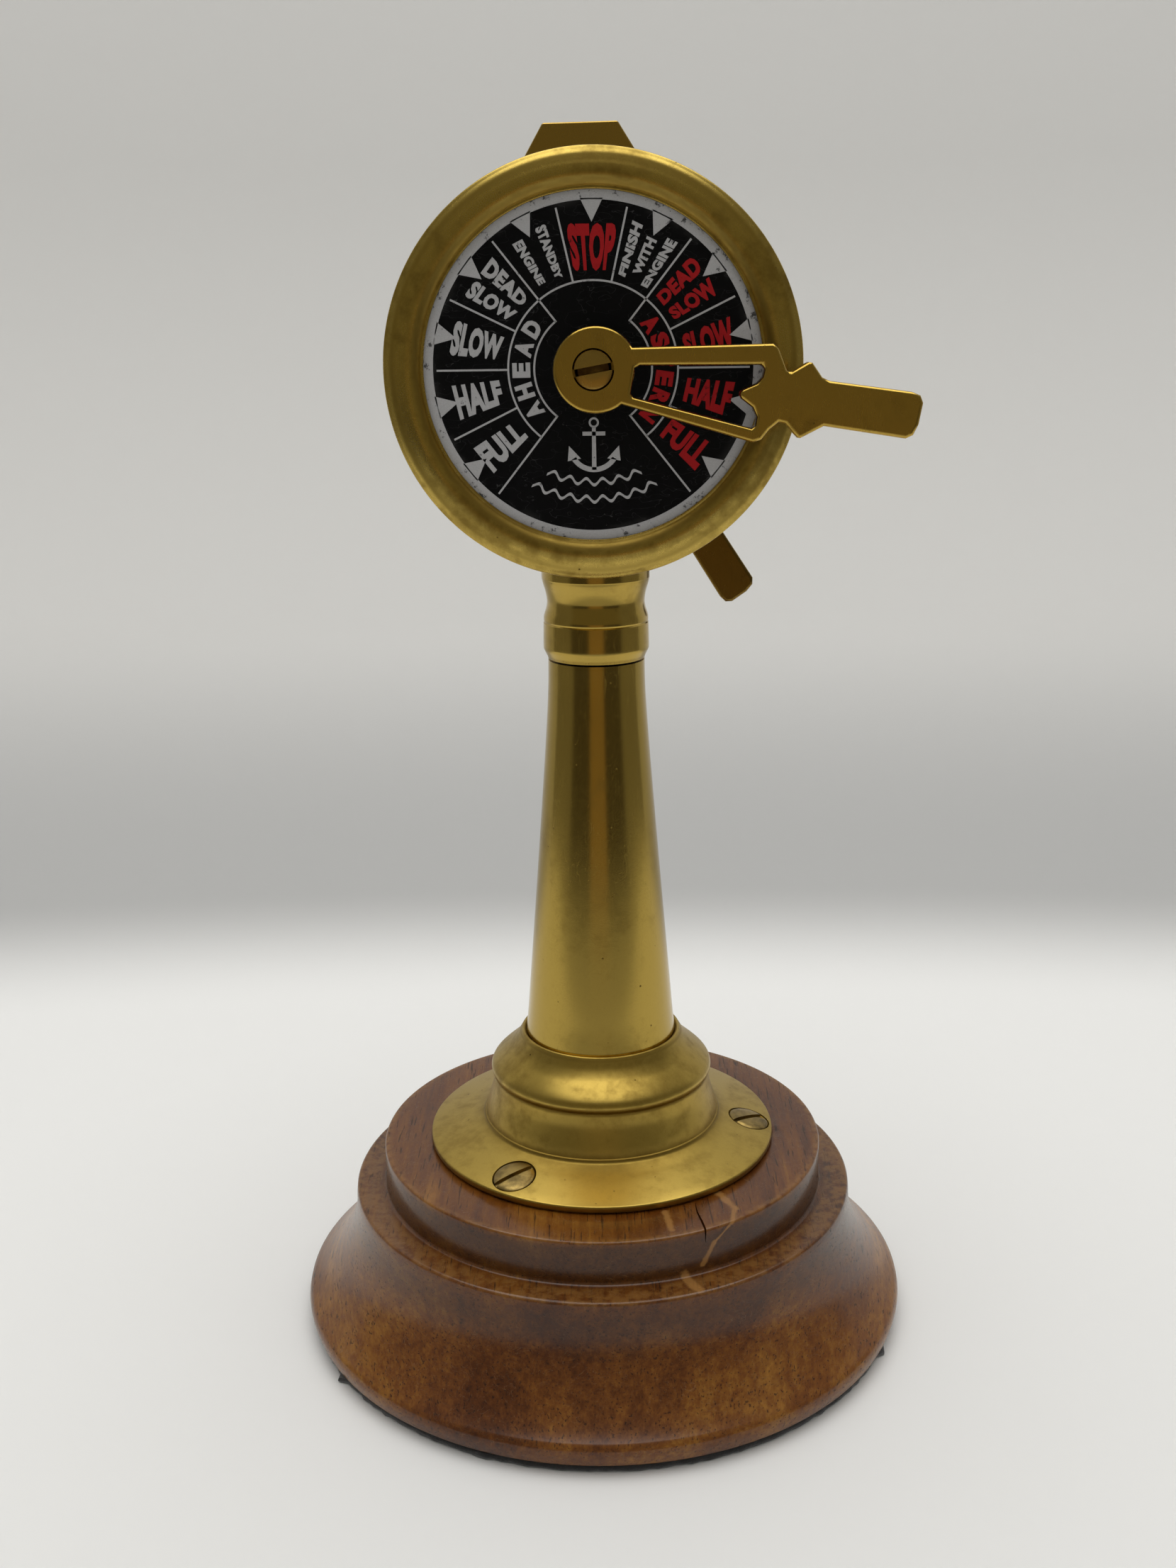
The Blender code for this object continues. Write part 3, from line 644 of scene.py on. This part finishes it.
def makeScrews(material):
    for number, turn in enumerate(screw["slotTurn"], 1):
        profile = screwProfile()
        crown = [(0, 0.4), (1.3, 0.38), (2.5, 0.31), (3.4, 0.2), (3.95, 0.05), (4.17, -0.12),
                 (screw["headR"], -0.4), (screw["shankR"] + 0.1, -2.7), (screw["shankR"] - 0.1, -3.4)]
        turns = int((screw["length"] - 8.0) / screw["pitch"])
        shank = []
        for i in range(turns):
            z = -4.2 - i * screw["pitch"]
            core = (screw["shankR"] - screw["threadDepth"]) * (1 - 0.06 * i)
            shank += [(core, z), (core + screw["threadDepth"], z - 0.75), (core, z - 1.1)]
        shape = turned(crown + shank + profile[-2:], 48)
        wide = screw["slotWidth"] / 2
        shape = carve(shape, bar(screw["headR"] + 1, -wide, wide, -screw["slotDepth"] + 0.4, 2))
        if number == screw["chewed"]:            # a slipping driver has opened this slot
            chewed = plate([(1.2, -0.4), (4.6, -1.7), (4.6, 0.4), (1.2, 0.5)], -0.25, 2)
            shape = carve(shape, chewed)
        put(f"flange_screw_{number}", shape, material, "stand", [f"foot_screw_{number}"],
            screwPlace(number, turn))


# foot casting: sloping flange, hollow band, ridge and a flared shoulder up to the column
foot = {"edgeTop": 40.0, "slope": 15.0, "bandR": 24.8,
        "band": ((24.7, 43.9), (24.3, 45.6), (23.65, 47.8), (23.1, 49.8), (22.85, 51.4)),
        "ridge": ((22.72, 52.3), (22.74, 52.75), (22.95, 53.1)),
        "shoulder": ((23.22, 53.5), (23.28, 54.2), (22.95, 55.1), (22.1, 56.05), (20.7, 57.3),
                     (19.2, 58.6), (17.95, 60.0), (17.25, 61.1)),
        "lipR": 16.75, "lipInner": 15.85}


def makeFoot(material):
    flangeR, under = highest("foot_casting").x, lowest("foot_casting").z
    lipTop = highest("foot_casting").z
    slope = math.tan(math.radians(foot["slope"]))
    coneTop = foot["edgeTop"] + (flangeR - 0.4 - foot["bandR"]) * slope
    profile = [(21.4, under), (flangeR - 0.4, under)]
    profile += arcPoints(flangeR - 0.4, under + 0.4, 0.4, 290, 360, 3)
    profile += arcPoints(flangeR - 0.45, foot["edgeTop"] - 0.47, 0.45, 0, 75, 5)
    profile += [(r, foot["edgeTop"] + (flangeR - 0.4 - r) * slope) for r in (34.0, 31.0, 28.5, 26.4)]
    profile += arcPoints(25.9, coneTop + 0.85, 0.95, 256, 186, 5)
    profile += flowThrough(foot["band"], 4)
    profile += flowThrough(foot["ridge"], 3)
    profile += flowThrough(foot["shoulder"], 4)
    profile += arcPoints(foot["lipR"] - 0.42, lipTop - 0.42, 0.42, 20, 150, 6)
    seat = lipTop - 0.9
    profile += [(foot["lipInner"], lipTop - 0.35), (foot["lipInner"], seat), (9.0, seat), (9.0, 58.6),
                (15.0, 58.2), (19.2, 54.5), (20.8, 50.0)]
    shape = drilled(turned(profile, 192), 48)
    put("flanged_foot", shape, material, "stand", ["foot_casting"], sharpAngle=38)


# column and neck
column = {"outside": ((15.75, 61.7), (15.2, 66.5), (14.65, 73.0), (13.55, 86.0), (12.3, 101.0),
                      (11.25, 114.0), (10.4, 125.0), (9.75, 135.0), (9.6, 141.3)), "wall": 2.0}
neck = {"skirt": ((9.35, 0.0), (9.62, 0.1), (9.75, 0.5), (10.32, 1.65), (10.46, 1.95)),
        "wall": ((10.5, 2.4), (10.46, 4.8), (10.4, 7.1)), "crease": (10.22, 7.32),
        "waist": ((10.36, 7.6), (10.33, 8.3), (10.12, 9.1), (9.8, 10.1), (9.65, 11.2), (9.74, 12.3),
                  (10.0, 13.6), (10.36, 14.8), (10.6, 15.8), (10.65, 17.0), (10.65, 25.0)), "bore": 2.9}


def makeColumn(material):
    outside = flowThrough(column["outside"], 6)
    inside = [(radius - column["wall"], height) for radius, height in reversed(outside)]
    put("tapered_column", turned(outside + inside, 160), material, "stand", ["column"])


def makeNeck(material):
    low = lowest("neck_collar").z
    line = [*neck["skirt"], *flowThrough(neck["wall"], 4), neck["crease"], *flowThrough(neck["waist"], 5)]
    profile = [(neck["bore"], 0.0), *line, (neck["bore"], line[-1][1])]
    shape = turned([(radius, low + height) for radius, height in profile], 160)
    shape = carveAt(shape, rod(highest("drum_shell").x + drum["gap"], -30, 30, 192), headMiddle)
    put("turned_neck", shape, material, "stand", ["neck_collar"])


# head: drum, lamp cover, bezels and dials
drum = {"wall": 3.2, "seat": 1.3, "seatR": 32.3, "rodR": 2.9, "lampR": 4.0, "gap": 0.3}
cover = {"topHalf": 6.6, "slope": 0.615, "tilt": 1.0, "shift": -1.1, "wall": 0.9, "low": 31.0, "round": 0.35}
bezel = {"back": 11.3, "lipR": 30.1, "seat": 12.9,
         "roll": ((36.75, 13.3), (36.1, 13.72), (35.4, 13.98), (34.8, 14.18), (34.1, 14.42), (33.2, 14.6),
                  (32.4, 14.55), (31.6, 14.25), (31.0, 13.85), (30.65, 13.5))}


def makeDrum(material):
    outer, half = highest("drum_shell").x, highest("drum_shell").y
    side = [(outer, half), (drum["seatR"], half), (drum["seatR"], half - drum["seat"]),
            (outer - drum["wall"], half - drum["seat"])]
    shape = turned(side + [(radius, -height) for radius, height in reversed(side)], 192)
    for radius, low, high in ((drum["rodR"], -40, -25), (drum["lampR"], 25, 40)):
        shape = carveAt(shape, rod(radius, low, high, 32), turnedBy(-90, "X"))
    put("drum", shape, material, "stand", ["drum_shell"], headMiddle)


def makeCover(material):
    top = highest("lamp_cover").z - headCentre.z - cover["topHalf"] * math.sin(math.radians(cover["tilt"]))
    depth = highest("lamp_cover").y

    def wedge(high, low, shrink):
        upper = cover["topHalf"] - shrink
        lower = upper + (high - low) * cover["slope"]
        return [(upper, high), (lower, low), (-lower, low), (-upper, high)]

    shape = soften(plate(wedge(top, cover["low"], 0), -depth, depth), cover["round"], 3, 40)
    wall = cover["wall"]
    shape = carve(shape, plate(wedge(top - wall, 25, 0.7), wall - depth, depth - wall))
    local = movedTo(cover["shift"], 0, 0) @ turnedBy(cover["tilt"], "Z")
    seat = rod(highest("drum_shell").x + drum["gap"], -30, 30, 256)
    put("crown_cover", carveAt(shape, seat, local.inverted()), material, "stand", ["lamp_cover"],
        headMiddle @ local, flatFirst=True)


def makeBezels(material):
    inner, outer = highest("drum_shell").x + drum["gap"], highest("front_bezel").x
    back, seat = bezel["back"], bezel["seat"]
    profile = [(inner, back), (outer - 0.2, back), (outer, back + 0.2), (outer, 12.75)]
    profile += arcPoints(outer - 0.45, 12.75, 0.45, 15, 60, 4) + flowThrough(bezel["roll"], 4)
    profile += arcPoints(bezel["lipR"] + 0.22, 13.35, 0.22, 60, 180, 4)
    profile += [(bezel["lipR"], seat), (inner, seat)]
    for side, face in faces.items():
        put(side + "_ring", turned(profile, 224), material, "stand", [side + "_bezel"],
            face, sharpAngle=50)


# dial lettering and lines, drawn round the dial in degrees clockwise from the top
dial = {"step": 360 / 14, "arcR": 15.24, "bandR": 10.29, "ruleEnd": 27.8, "borderR": 28.44, "edgeR": 31.45,
        "tipR": 24.75, "tipHalf": 1.99, "line": 0.34, "front": drumEnd, "raised": 0.05, "orderR": 20.97,
        "bandLetter": (2.62, 3.2), "bandMid": 12.76, "waves": ((19.8, 25), (22.9, 29))}
orders = [    # sector, lines, width, height, gap between lines
    (0, ["STOP"], 7.77, 7.96, 0.0, "red"),
    (-1, ["STANDBY", "ENGINE"], 9.32, 1.7, 3.88, "silver"),
    (-2, ["DEAD", "SLOW"], 9.12, 2.82, 3.98, "silver"),
    (-3, ["SLOW"], 9.03, 5.14, 0.0, "silver"),
    (-4, ["HALF"], 8.45, 5.14, 0.0, "silver"),
    (-5, ["FULL"], 8.93, 4.76, 0.0, "silver"),
    (1, ["FINISH", "WITH", "ENGINE"], 9.12, 1.7, 2.77, "silver"),
    (2, ["DEAD", "SLOW"], 9.12, 2.82, 3.98, "red"),
    (3, ["SLOW"], 9.03, 5.14, 0.0, "red"),
    (4, ["HALF"], 8.45, 5.14, 0.0, "red"),
    (5, ["FULL"], 8.93, 4.76, 0.0, "red"),
]


def letters(text, width, height, raised):
    # a word as a thin raised mesh, centred, its strokes thickened
    curve = bpy.data.curves.new(text, "FONT")
    curve.body = text
    curve.size = 1.0
    curve.offset = 0.058
    curve.extrude = 0.5
    curve.resolution_u = 3
    curve.space_character = 1.06
    holder = shown(text, curve)
    seen = holder.evaluated_get(bpy.context.evaluated_depsgraph_get())
    mesh = bpy.data.meshes.new_from_object(seen)
    word = bmesh.new()
    word.from_mesh(mesh)
    bpy.data.objects.remove(holder)
    bpy.data.meshes.remove(mesh)
    xs, ys = [v.co.x for v in word.verts], [v.co.y for v in word.verts]
    middle = ((min(xs) + max(xs)) / 2, (min(ys) + max(ys)) / 2)
    growth = (width / (max(xs) - min(xs)), height / (max(ys) - min(ys)), raised)
    bmesh.ops.translate(word, verts=word.verts, vec=(-middle[0], -middle[1], 0.5))
    bmesh.ops.scale(word, verts=word.verts, vec=growth)
    return word


def addTo(whole, part, place):
    bmesh.ops.transform(part, matrix=place, verts=part.verts)
    mesh = bpy.data.meshes.new("part")
    part.to_mesh(mesh)
    part.free()
    whole.from_mesh(mesh)
    bpy.data.meshes.remove(mesh)


def aroundDial(degrees):
    # degrees clockwise from the top; +Y points outwards there
    return turnedBy(-degrees, "Z")


def arcStrip(inner, outer, first, last, raised):
    # a flat strip along an arc of the dial
    strip = bmesh.new()
    section = [(0, inner, 0), (0, outer, 0), (0, outer, raised), (0, inner, raised)]
    strip.faces.new([strip.verts.new(point) for point in section])
    bmesh.ops.rotate(strip, verts=strip.verts, cent=(0, 0, 0), matrix=aroundDial(first).to_3x3())
    bmesh.ops.spin(strip, geom=strip.verts[:] + strip.edges[:] + strip.faces[:], cent=(0, 0, 0),
                   axis=(0, 0, -1), angle=math.radians(last - first), steps=max(2, int((last - first) / 2.5)))
    return strip


def makeOrders(ink):
    # the order words of one colour
    marks = bmesh.new()
    raised = dial["raised"]
    for sector, lines, width, height, gap, colour in orders:
        if colour != ink:
            continue
        angle = sector * dial["step"]
        longest = max(len(line) for line in lines)
        for i, line in enumerate(lines):
            word = letters(line, width * (len(line) / longest) ** 0.8, height, raised)
            shift = ((len(lines) - 1) / 2 - i) * gap
            for vert in word.verts:            # words widen towards the rim as their sector does
                if sector == 0:
                    vert.co.x *= 1 + vert.co.y / dial["orderR"] * 0.9
                else:
                    inward = -1 if sector < 0 else 1
                    vert.co.y = (vert.co.y + shift) * (1 + inward * vert.co.x / dial["orderR"])
            if sector == 0:
                reading = movedTo(0, dial["orderR"] - 0.4, dial["front"])
            else:
                reading = movedTo(0, dial["orderR"], dial["front"]) @ turnedBy(-90 if sector < 0 else 90, "Z")
            addTo(marks, word, aroundDial(angle) @ reading)
    for text, first, gap, colour in (("AHEAD", -124.0, 16.8, "silver"), ("ASTERN", 53.5, 14.9, "red")):
        if colour == ink:
            for i, letter in enumerate(text):
                width, height = dial["bandLetter"]
                glyph = letters(letter, width, height, raised)
                addTo(marks, glyph, aroundDial(first + i * gap) @ movedTo(0, dial["bandMid"], dial["front"]))
    return marks


def makeLines():
    # rules, border, sector points, an anchor and two rows of waves
    marks = bmesh.new()
    raised, line, step = dial["raised"], dial["line"], dial["step"]
    lift = movedTo(0, 0, dial["front"])
    limit = 5.5 * step
    border = [(dial["borderR"], 0), (dial["edgeR"], 0), (dial["edgeR"], raised), (dial["borderR"], raised)]
    addTo(marks, turned(border, 160), lift)
    addTo(marks, arcStrip(dial["arcR"] - line, dial["arcR"], -limit, limit, raised), lift)
    for side in (-1, 1):
        ends = sorted((side * 1.5 * step, side * limit))
        addTo(marks, arcStrip(dial["bandR"], dial["bandR"] + line, *ends, raised), lift)
        for degrees in ends:
            rule = bar(line / 2, dial["bandR"], dial["arcR"], 0, raised)
            addTo(marks, rule, lift @ aroundDial(degrees))
    for i in range(12):
        rule = bar(line / 2, dial["arcR"], dial["ruleEnd"], 0, raised)
        addTo(marks, rule, lift @ aroundDial((i - 5.5) * step))
    for i in range(11):
        point = plate([(-dial["tipHalf"], dial["borderR"] + 0.2), (0, dial["tipR"]),
                       (dial["tipHalf"], dial["borderR"] + 0.2)], 0, raised)
        addTo(marks, point, lift @ aroundDial((i - 5) * step))
    makeAnchor(marks, raised, lift)
    for radius, reach in dial["waves"]:
        addTo(marks, wave(radius, reach, raised), lift)
    return marks


anchor = {"ringY": -9.32, "ringR": 0.92, "stockY": -11.26, "stockHalf": 2.04, "stockWide": 0.35,
          "crownY": -17.67, "shankHalf": 0.41, "armsR": 4.76, "armsEnd": 122, "flukeHalf": 1.21}


def makeAnchor(marks, raised, lift):
    ring = anchor["ringR"]
    eyelet = [(ring - 0.35, 0), (ring, 0), (ring, raised), (ring - 0.35, raised)]
    addTo(marks, turned(eyelet, 24), lift @ movedTo(0, anchor["ringY"], 0))
    half, top, crown = anchor["shankHalf"], anchor["ringY"] - ring + 0.1, anchor["crownY"]
    shank = plate([(-half * 0.8, top), (-half, crown), (half, crown), (half * 0.8, top)], 0, raised)
    addTo(marks, shank, lift)
    stockY, wide = anchor["stockY"], anchor["stockWide"]
    addTo(marks, bar(anchor["stockHalf"], stockY - wide, stockY + wide, 0, raised), lift)
    arms, end = anchor["armsR"], anchor["armsEnd"]
    middle = lift @ movedTo(0, crown + arms - 0.4, 0)
    addTo(marks, arcStrip(arms - 0.9, arms, end, 360 - end, raised), middle)
    for side in (-1, 1):
        fluke = anchor["flukeHalf"] * side
        fluke = plate([(-fluke, -0.3), (fluke, -0.3), (0.5 * side, 2.3)], 0, raised)
        tip = middle @ aroundDial(side * end) @ movedTo(0, arms - 0.5, 0) @ turnedBy(side * 112, "Z")
        addTo(marks, fluke, tip)


def wave(radius, reach, raised):
    # a wavy rule with its crests towards the rim
    def edge(shift, order):
        points = []
        for i in order:
            angle = math.radians(-reach + 2 * reach * i / 120)
            out = radius + shift + 0.55 * math.cos(angle * radius * 2.1)
            points.append((out * math.sin(angle), -out * math.cos(angle)))
        return points
    return plate(edge(0.28, range(121)) + edge(-0.28, range(120, -1, -1)), 0, raised)


def makePrint(name, ink, under, roughness, metallic):
    # worn printing: the ground shows through where it has rubbed away
    paint = Finish(name, {"Metallic": metallic, "Specular IOR Level": 0.1})
    wear = paint.noise(paint.point, 0.75, 7.0, 0.72)
    broad = paint.noise(paint.point, 0.12, 2.0)
    x, _, z = paint.axes(paint.vectors("SUBTRACT", paint.point, tuple(headCentre)))
    rim = paint.rise(paint.lengthOf(x, z), 28.0, 30.4)
    rubbed = paint.rise(wear + broad * 0.2 + rim * 0.06, 0.71, 0.79)
    fine = paint.noise(paint.point, 5.0, 3.0)
    colour = paint.mix(rubbed * 0.9, paint.mix(fine * 0.35, ink, under), under)
    return paint.done(colour, roughness + fine * 0.15, fine - rubbed * 1.5, 0.02, 0.6)


def makeDialBlack():
    enamel = Finish("dial_enamel", {"Specular IOR Level": 0.08})
    fine = enamel.noise(enamel.point, 4.0, 4.0, 0.6)
    cloud = enamel.noise(enamel.point, 0.16, 4.0, 0.6)
    dust = enamel.rise(enamel.noise(enamel.point, 1.7, 3.0, 0.7), 0.71, 0.76)
    x, _, z = enamel.axes(enamel.vectors("SUBTRACT", enamel.point, tuple(headCentre)))
    rim = enamel.rise(enamel.lengthOf(x, z), 26.8, 30.8) * enamel.rise(cloud, 0.45, 0.65)
    swirl = enamel.noise(enamel.scaled(enamel.point, (0.25, 0.25, 0.5)), 1.0, 2.0)
    hair = enamel.rise(abs(swirl - 0.5), 0.004, 0.0)
    colour = enamel.mix(fine, (0.0012, 0.0014, 0.002), (0.004, 0.0045, 0.0055))
    colour = enamel.mix(cloud * 0.3, colour, (0.008, 0.008, 0.009))
    colour = enamel.mix(dust * 0.35, colour, (0.12, 0.11, 0.10))
    colour = enamel.mix(rim * 0.5, colour, (0.09, 0.085, 0.08))
    colour = enamel.mix(hair * 0.3, colour, (0.13, 0.13, 0.13))
    relief = fine * 0.4 + cloud * 0.8 - hair * 0.4
    return enamel.done(colour, 0.3 + cloud * 0.2 + dust * 0.2, relief, 0.03, 0.5)


def makeDials():
    black = makeDialBlack()
    silver = makePrint("dial_silver", (0.50, 0.50, 0.515), (0.03, 0.03, 0.032), 0.42, 0.15)
    red = makePrint("dial_red", (0.40, 0.009, 0.012), (0.03, 0.006, 0.006), 0.5, 0.0)
    inner, outer, front = 4.0, highest("front_dial").x, dial["front"]
    profile = [(inner, front - 1), (outer, front - 1), (outer, front - 0.15), (outer - 0.15, front)]
    profile += [(radius, front) for radius in (30.0, 24.0, 16.0, 9.0, inner)]
    for side, face in faces.items():
        put(side + "_dial_plate", turned(profile, 192), black, "stand", [side + "_dial"], face)
        put(side + "_dial_rules", makeLines(), silver, "stand", (), face)
        put(side + "_dial_silver_orders", makeOrders("silver"), silver, "stand", (), face)
        put(side + "_dial_red_orders", makeOrders("red"), red, "stand", (), face)


# levers: two pierced arms from the hub to a notched pointer and a flat grip
lever = {"back": 17.9, "front": 21.4, "hubX": 0.4, "hubR": 7.4, "hubBack": 17.2, "round": 0.85,
         "angles": (-8.8, -123.0), "bore": 1.9, "sinkR": 3.62, "screwR": 3.4, "slotTurn": 10.0,
         "slotHalf": 0.62,
         "upper": ((30.1, 8.7), (31.1, 8.0), (33.1, 4.6), (33.8, 4.3), (36.6, 6.5), (37.3, 6.5),
                   (39.4, 4.3), (40.8, 3.9), (55.2, 4.1), (56.8, 3.7), (57.5, 2.5)),
         "lower": ((57.4, -1.2), (56.8, -3.1), (55.6, -3.9), (41.1, -3.8), (37.4, -6.4), (36.9, -6.4),
                   (34.4, -4.3), (33.2, -4.2), (31.8, -5.7), (30.7, -7.6), (29.3, -8.3)),
         "window": ((7.0, -3.1), (7.6, -3.6), (28.7, -5.9), (29.3, -5.4), (29.3, -3.9), (28.3, -2.4),
                    (26.1, -1.2), (25.5, -0.3), (26.2, 0.4), (28.4, 1.7), (29.2, 2.9), (29.3, 4.2),
                    (28.8, 4.9), (7.9, 1.8), (7.1, 1.3))}


def makeLevers(material, screwMetal):
    for side, angle in zip(faces, lever["angles"]):
        place = faces[side] @ turnedBy(angle, "Z")
        outline = list(lever["upper"] + lever["lower"])
        outline += arcPoints(lever["hubX"], 0, lever["hubR"], 316, 39, 40)
        shape = plate(outline, lever["back"], lever["front"], [lever["window"]])
        shape = soften(shape, lever["round"], 4, 60)
        hub, back = lever["hubR"] - 0.6, lever["hubBack"]
        boss = turned([(0, back), (hub - 0.5, back), (hub - 0.15, back + 0.15), (hub, back + 0.5),
                       (hub, back + 1.4), (0, back + 1.4)], 96)
        bmesh.ops.translate(boss, vec=(lever["hubX"], 0, 0), verts=boss.verts)
        shape = carve(shape, boss, "UNION")
        bore = turned([(0, 16), (lever["bore"], 16), (lever["bore"], 19.2), (lever["sinkR"], 20.9),
                       (lever["sinkR"], 23), (0, 23)], 64)
        shape = carve(shape, bore)
        put(side + "_pointer_lever", shape, material, side + "_lever_set",
            [side + "_lever"], place, flatFirst=True)
        makeLeverScrew(side, place @ turnedBy(lever["slotTurn"] - angle, "Z"), screwMetal)


def makeLeverScrew(side, place, material):
    head = lever["screwR"]
    crown = [(0, 21.47), (1.6, 21.45), (2.8, 21.38), (head - 0.12, 21.28), (head, 21.15), (1.5, 19.5),
             (0.9, 19.4), (0.9, 14.8), (0, 14.6)]
    shape = turned(crown, 72)
    slot = bar(head + 1, -lever["slotHalf"], lever["slotHalf"], 20.55, 23)
    put(side + "_hub_screw", carve(shape, slot), material, side + "_lever_set",
        [side + "_lever_screw"], place)


# small turned pieces between the dial and the lever: outlines of (radius, height in the face's frame)
turnedPieces = {
    "bush": ("stand", "brass", [
        (2.1, 7.4), (3.5, 7.4), (3.7, 7.6), (3.7, 12.9), (5.05, 12.9), (5.2, 13.05), (5.2, 14.8),
        (4.95, 15.1), (2.3, 15.1), (2.1, 14.9)]),
    "lever_washer": ("lever_set", "brass", [
        (2.3, 15.5), (4.25, 15.5), (4.4, 15.65), (4.4, 16.65), (4.25, 16.8), (2.3, 16.8)]),
    "spindle": ("lever_set", "steel", [
        (0, -7.8), (1.3, -7.8), (1.4, -7.7), (1.4, -3.9), (2.0, -3.9), (2.0, 16.9), (1.6, 16.9),
        (1.6, 19.1), (1.5, 19.2), (1.2, 19.2), (1.2, 14.0), (0, 14.0)]),
}


def makeTurnedPieces(metals):
    for side, face in faces.items():
        for name, (body, slot, profile) in turnedPieces.items():
            owner = body if body == "stand" else f"{side}_{body}"
            put(f"{side}_turned_{name}", turned(profile, 72), metals[slot], owner,
                [f"{side}_{name}"], face)


def makeSteel():
    steel = Finish("bright_steel", {"Metallic": 1.0})
    grain = steel.noise(steel.point, 2.2, 4.0, 0.6)
    stain = steel.rise(steel.noise(steel.point, 0.4, 4.0), 0.5, 0.7)
    colour = steel.mix(stain * 0.5, (0.46, 0.46, 0.47), (0.22, 0.19, 0.16))
    return steel.done(colour, 0.3 + grain * 0.15, grain, 0.015, 0.5)


def makeBellMetal():
    bronze = Finish("bell_bronze", {"Metallic": 1.0})
    cast = bronze.noise(bronze.point, 1.1, 5.0, 0.6)
    colour = bronze.mix(bronze.rise(cast, 0.4, 0.7) * 0.6, (0.50, 0.34, 0.17), (0.27, 0.16, 0.07))
    return bronze.done(colour, 0.22 + cast * 0.15, cast, 0.03, 0.5)


makeBase(makeWood())
makeFelt()
makeFoot(brassFoot)
makeScrews(brassScrew)
print("base, felt and foot ready")
makeColumn(brassColumn)
makeNeck(brassNeck)
makeDrum(brassDrum)
makeCover(brassCover)
makeBezels(brassBezel)
print("column and head ready")
makeDials()
makeLevers(brassLever, brassHub)
steel = makeSteel()
makeTurnedPieces({"brass": brassPlain, "steel": steel})
print("dials and levers ready")

# the movement keeps its shapes from the frame
bellMetal = makeBellMetal()
for name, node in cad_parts.items():
    metal = brassPlain
    if "bell" in name and not name.endswith(("nut", "post")):
        metal = bellMetal
    elif any(word in name for word in ("nut", "post", "rod", "pin", "spring", "washer")):
        metal = steel
    for material in node.material_slots:
        material.material = metal
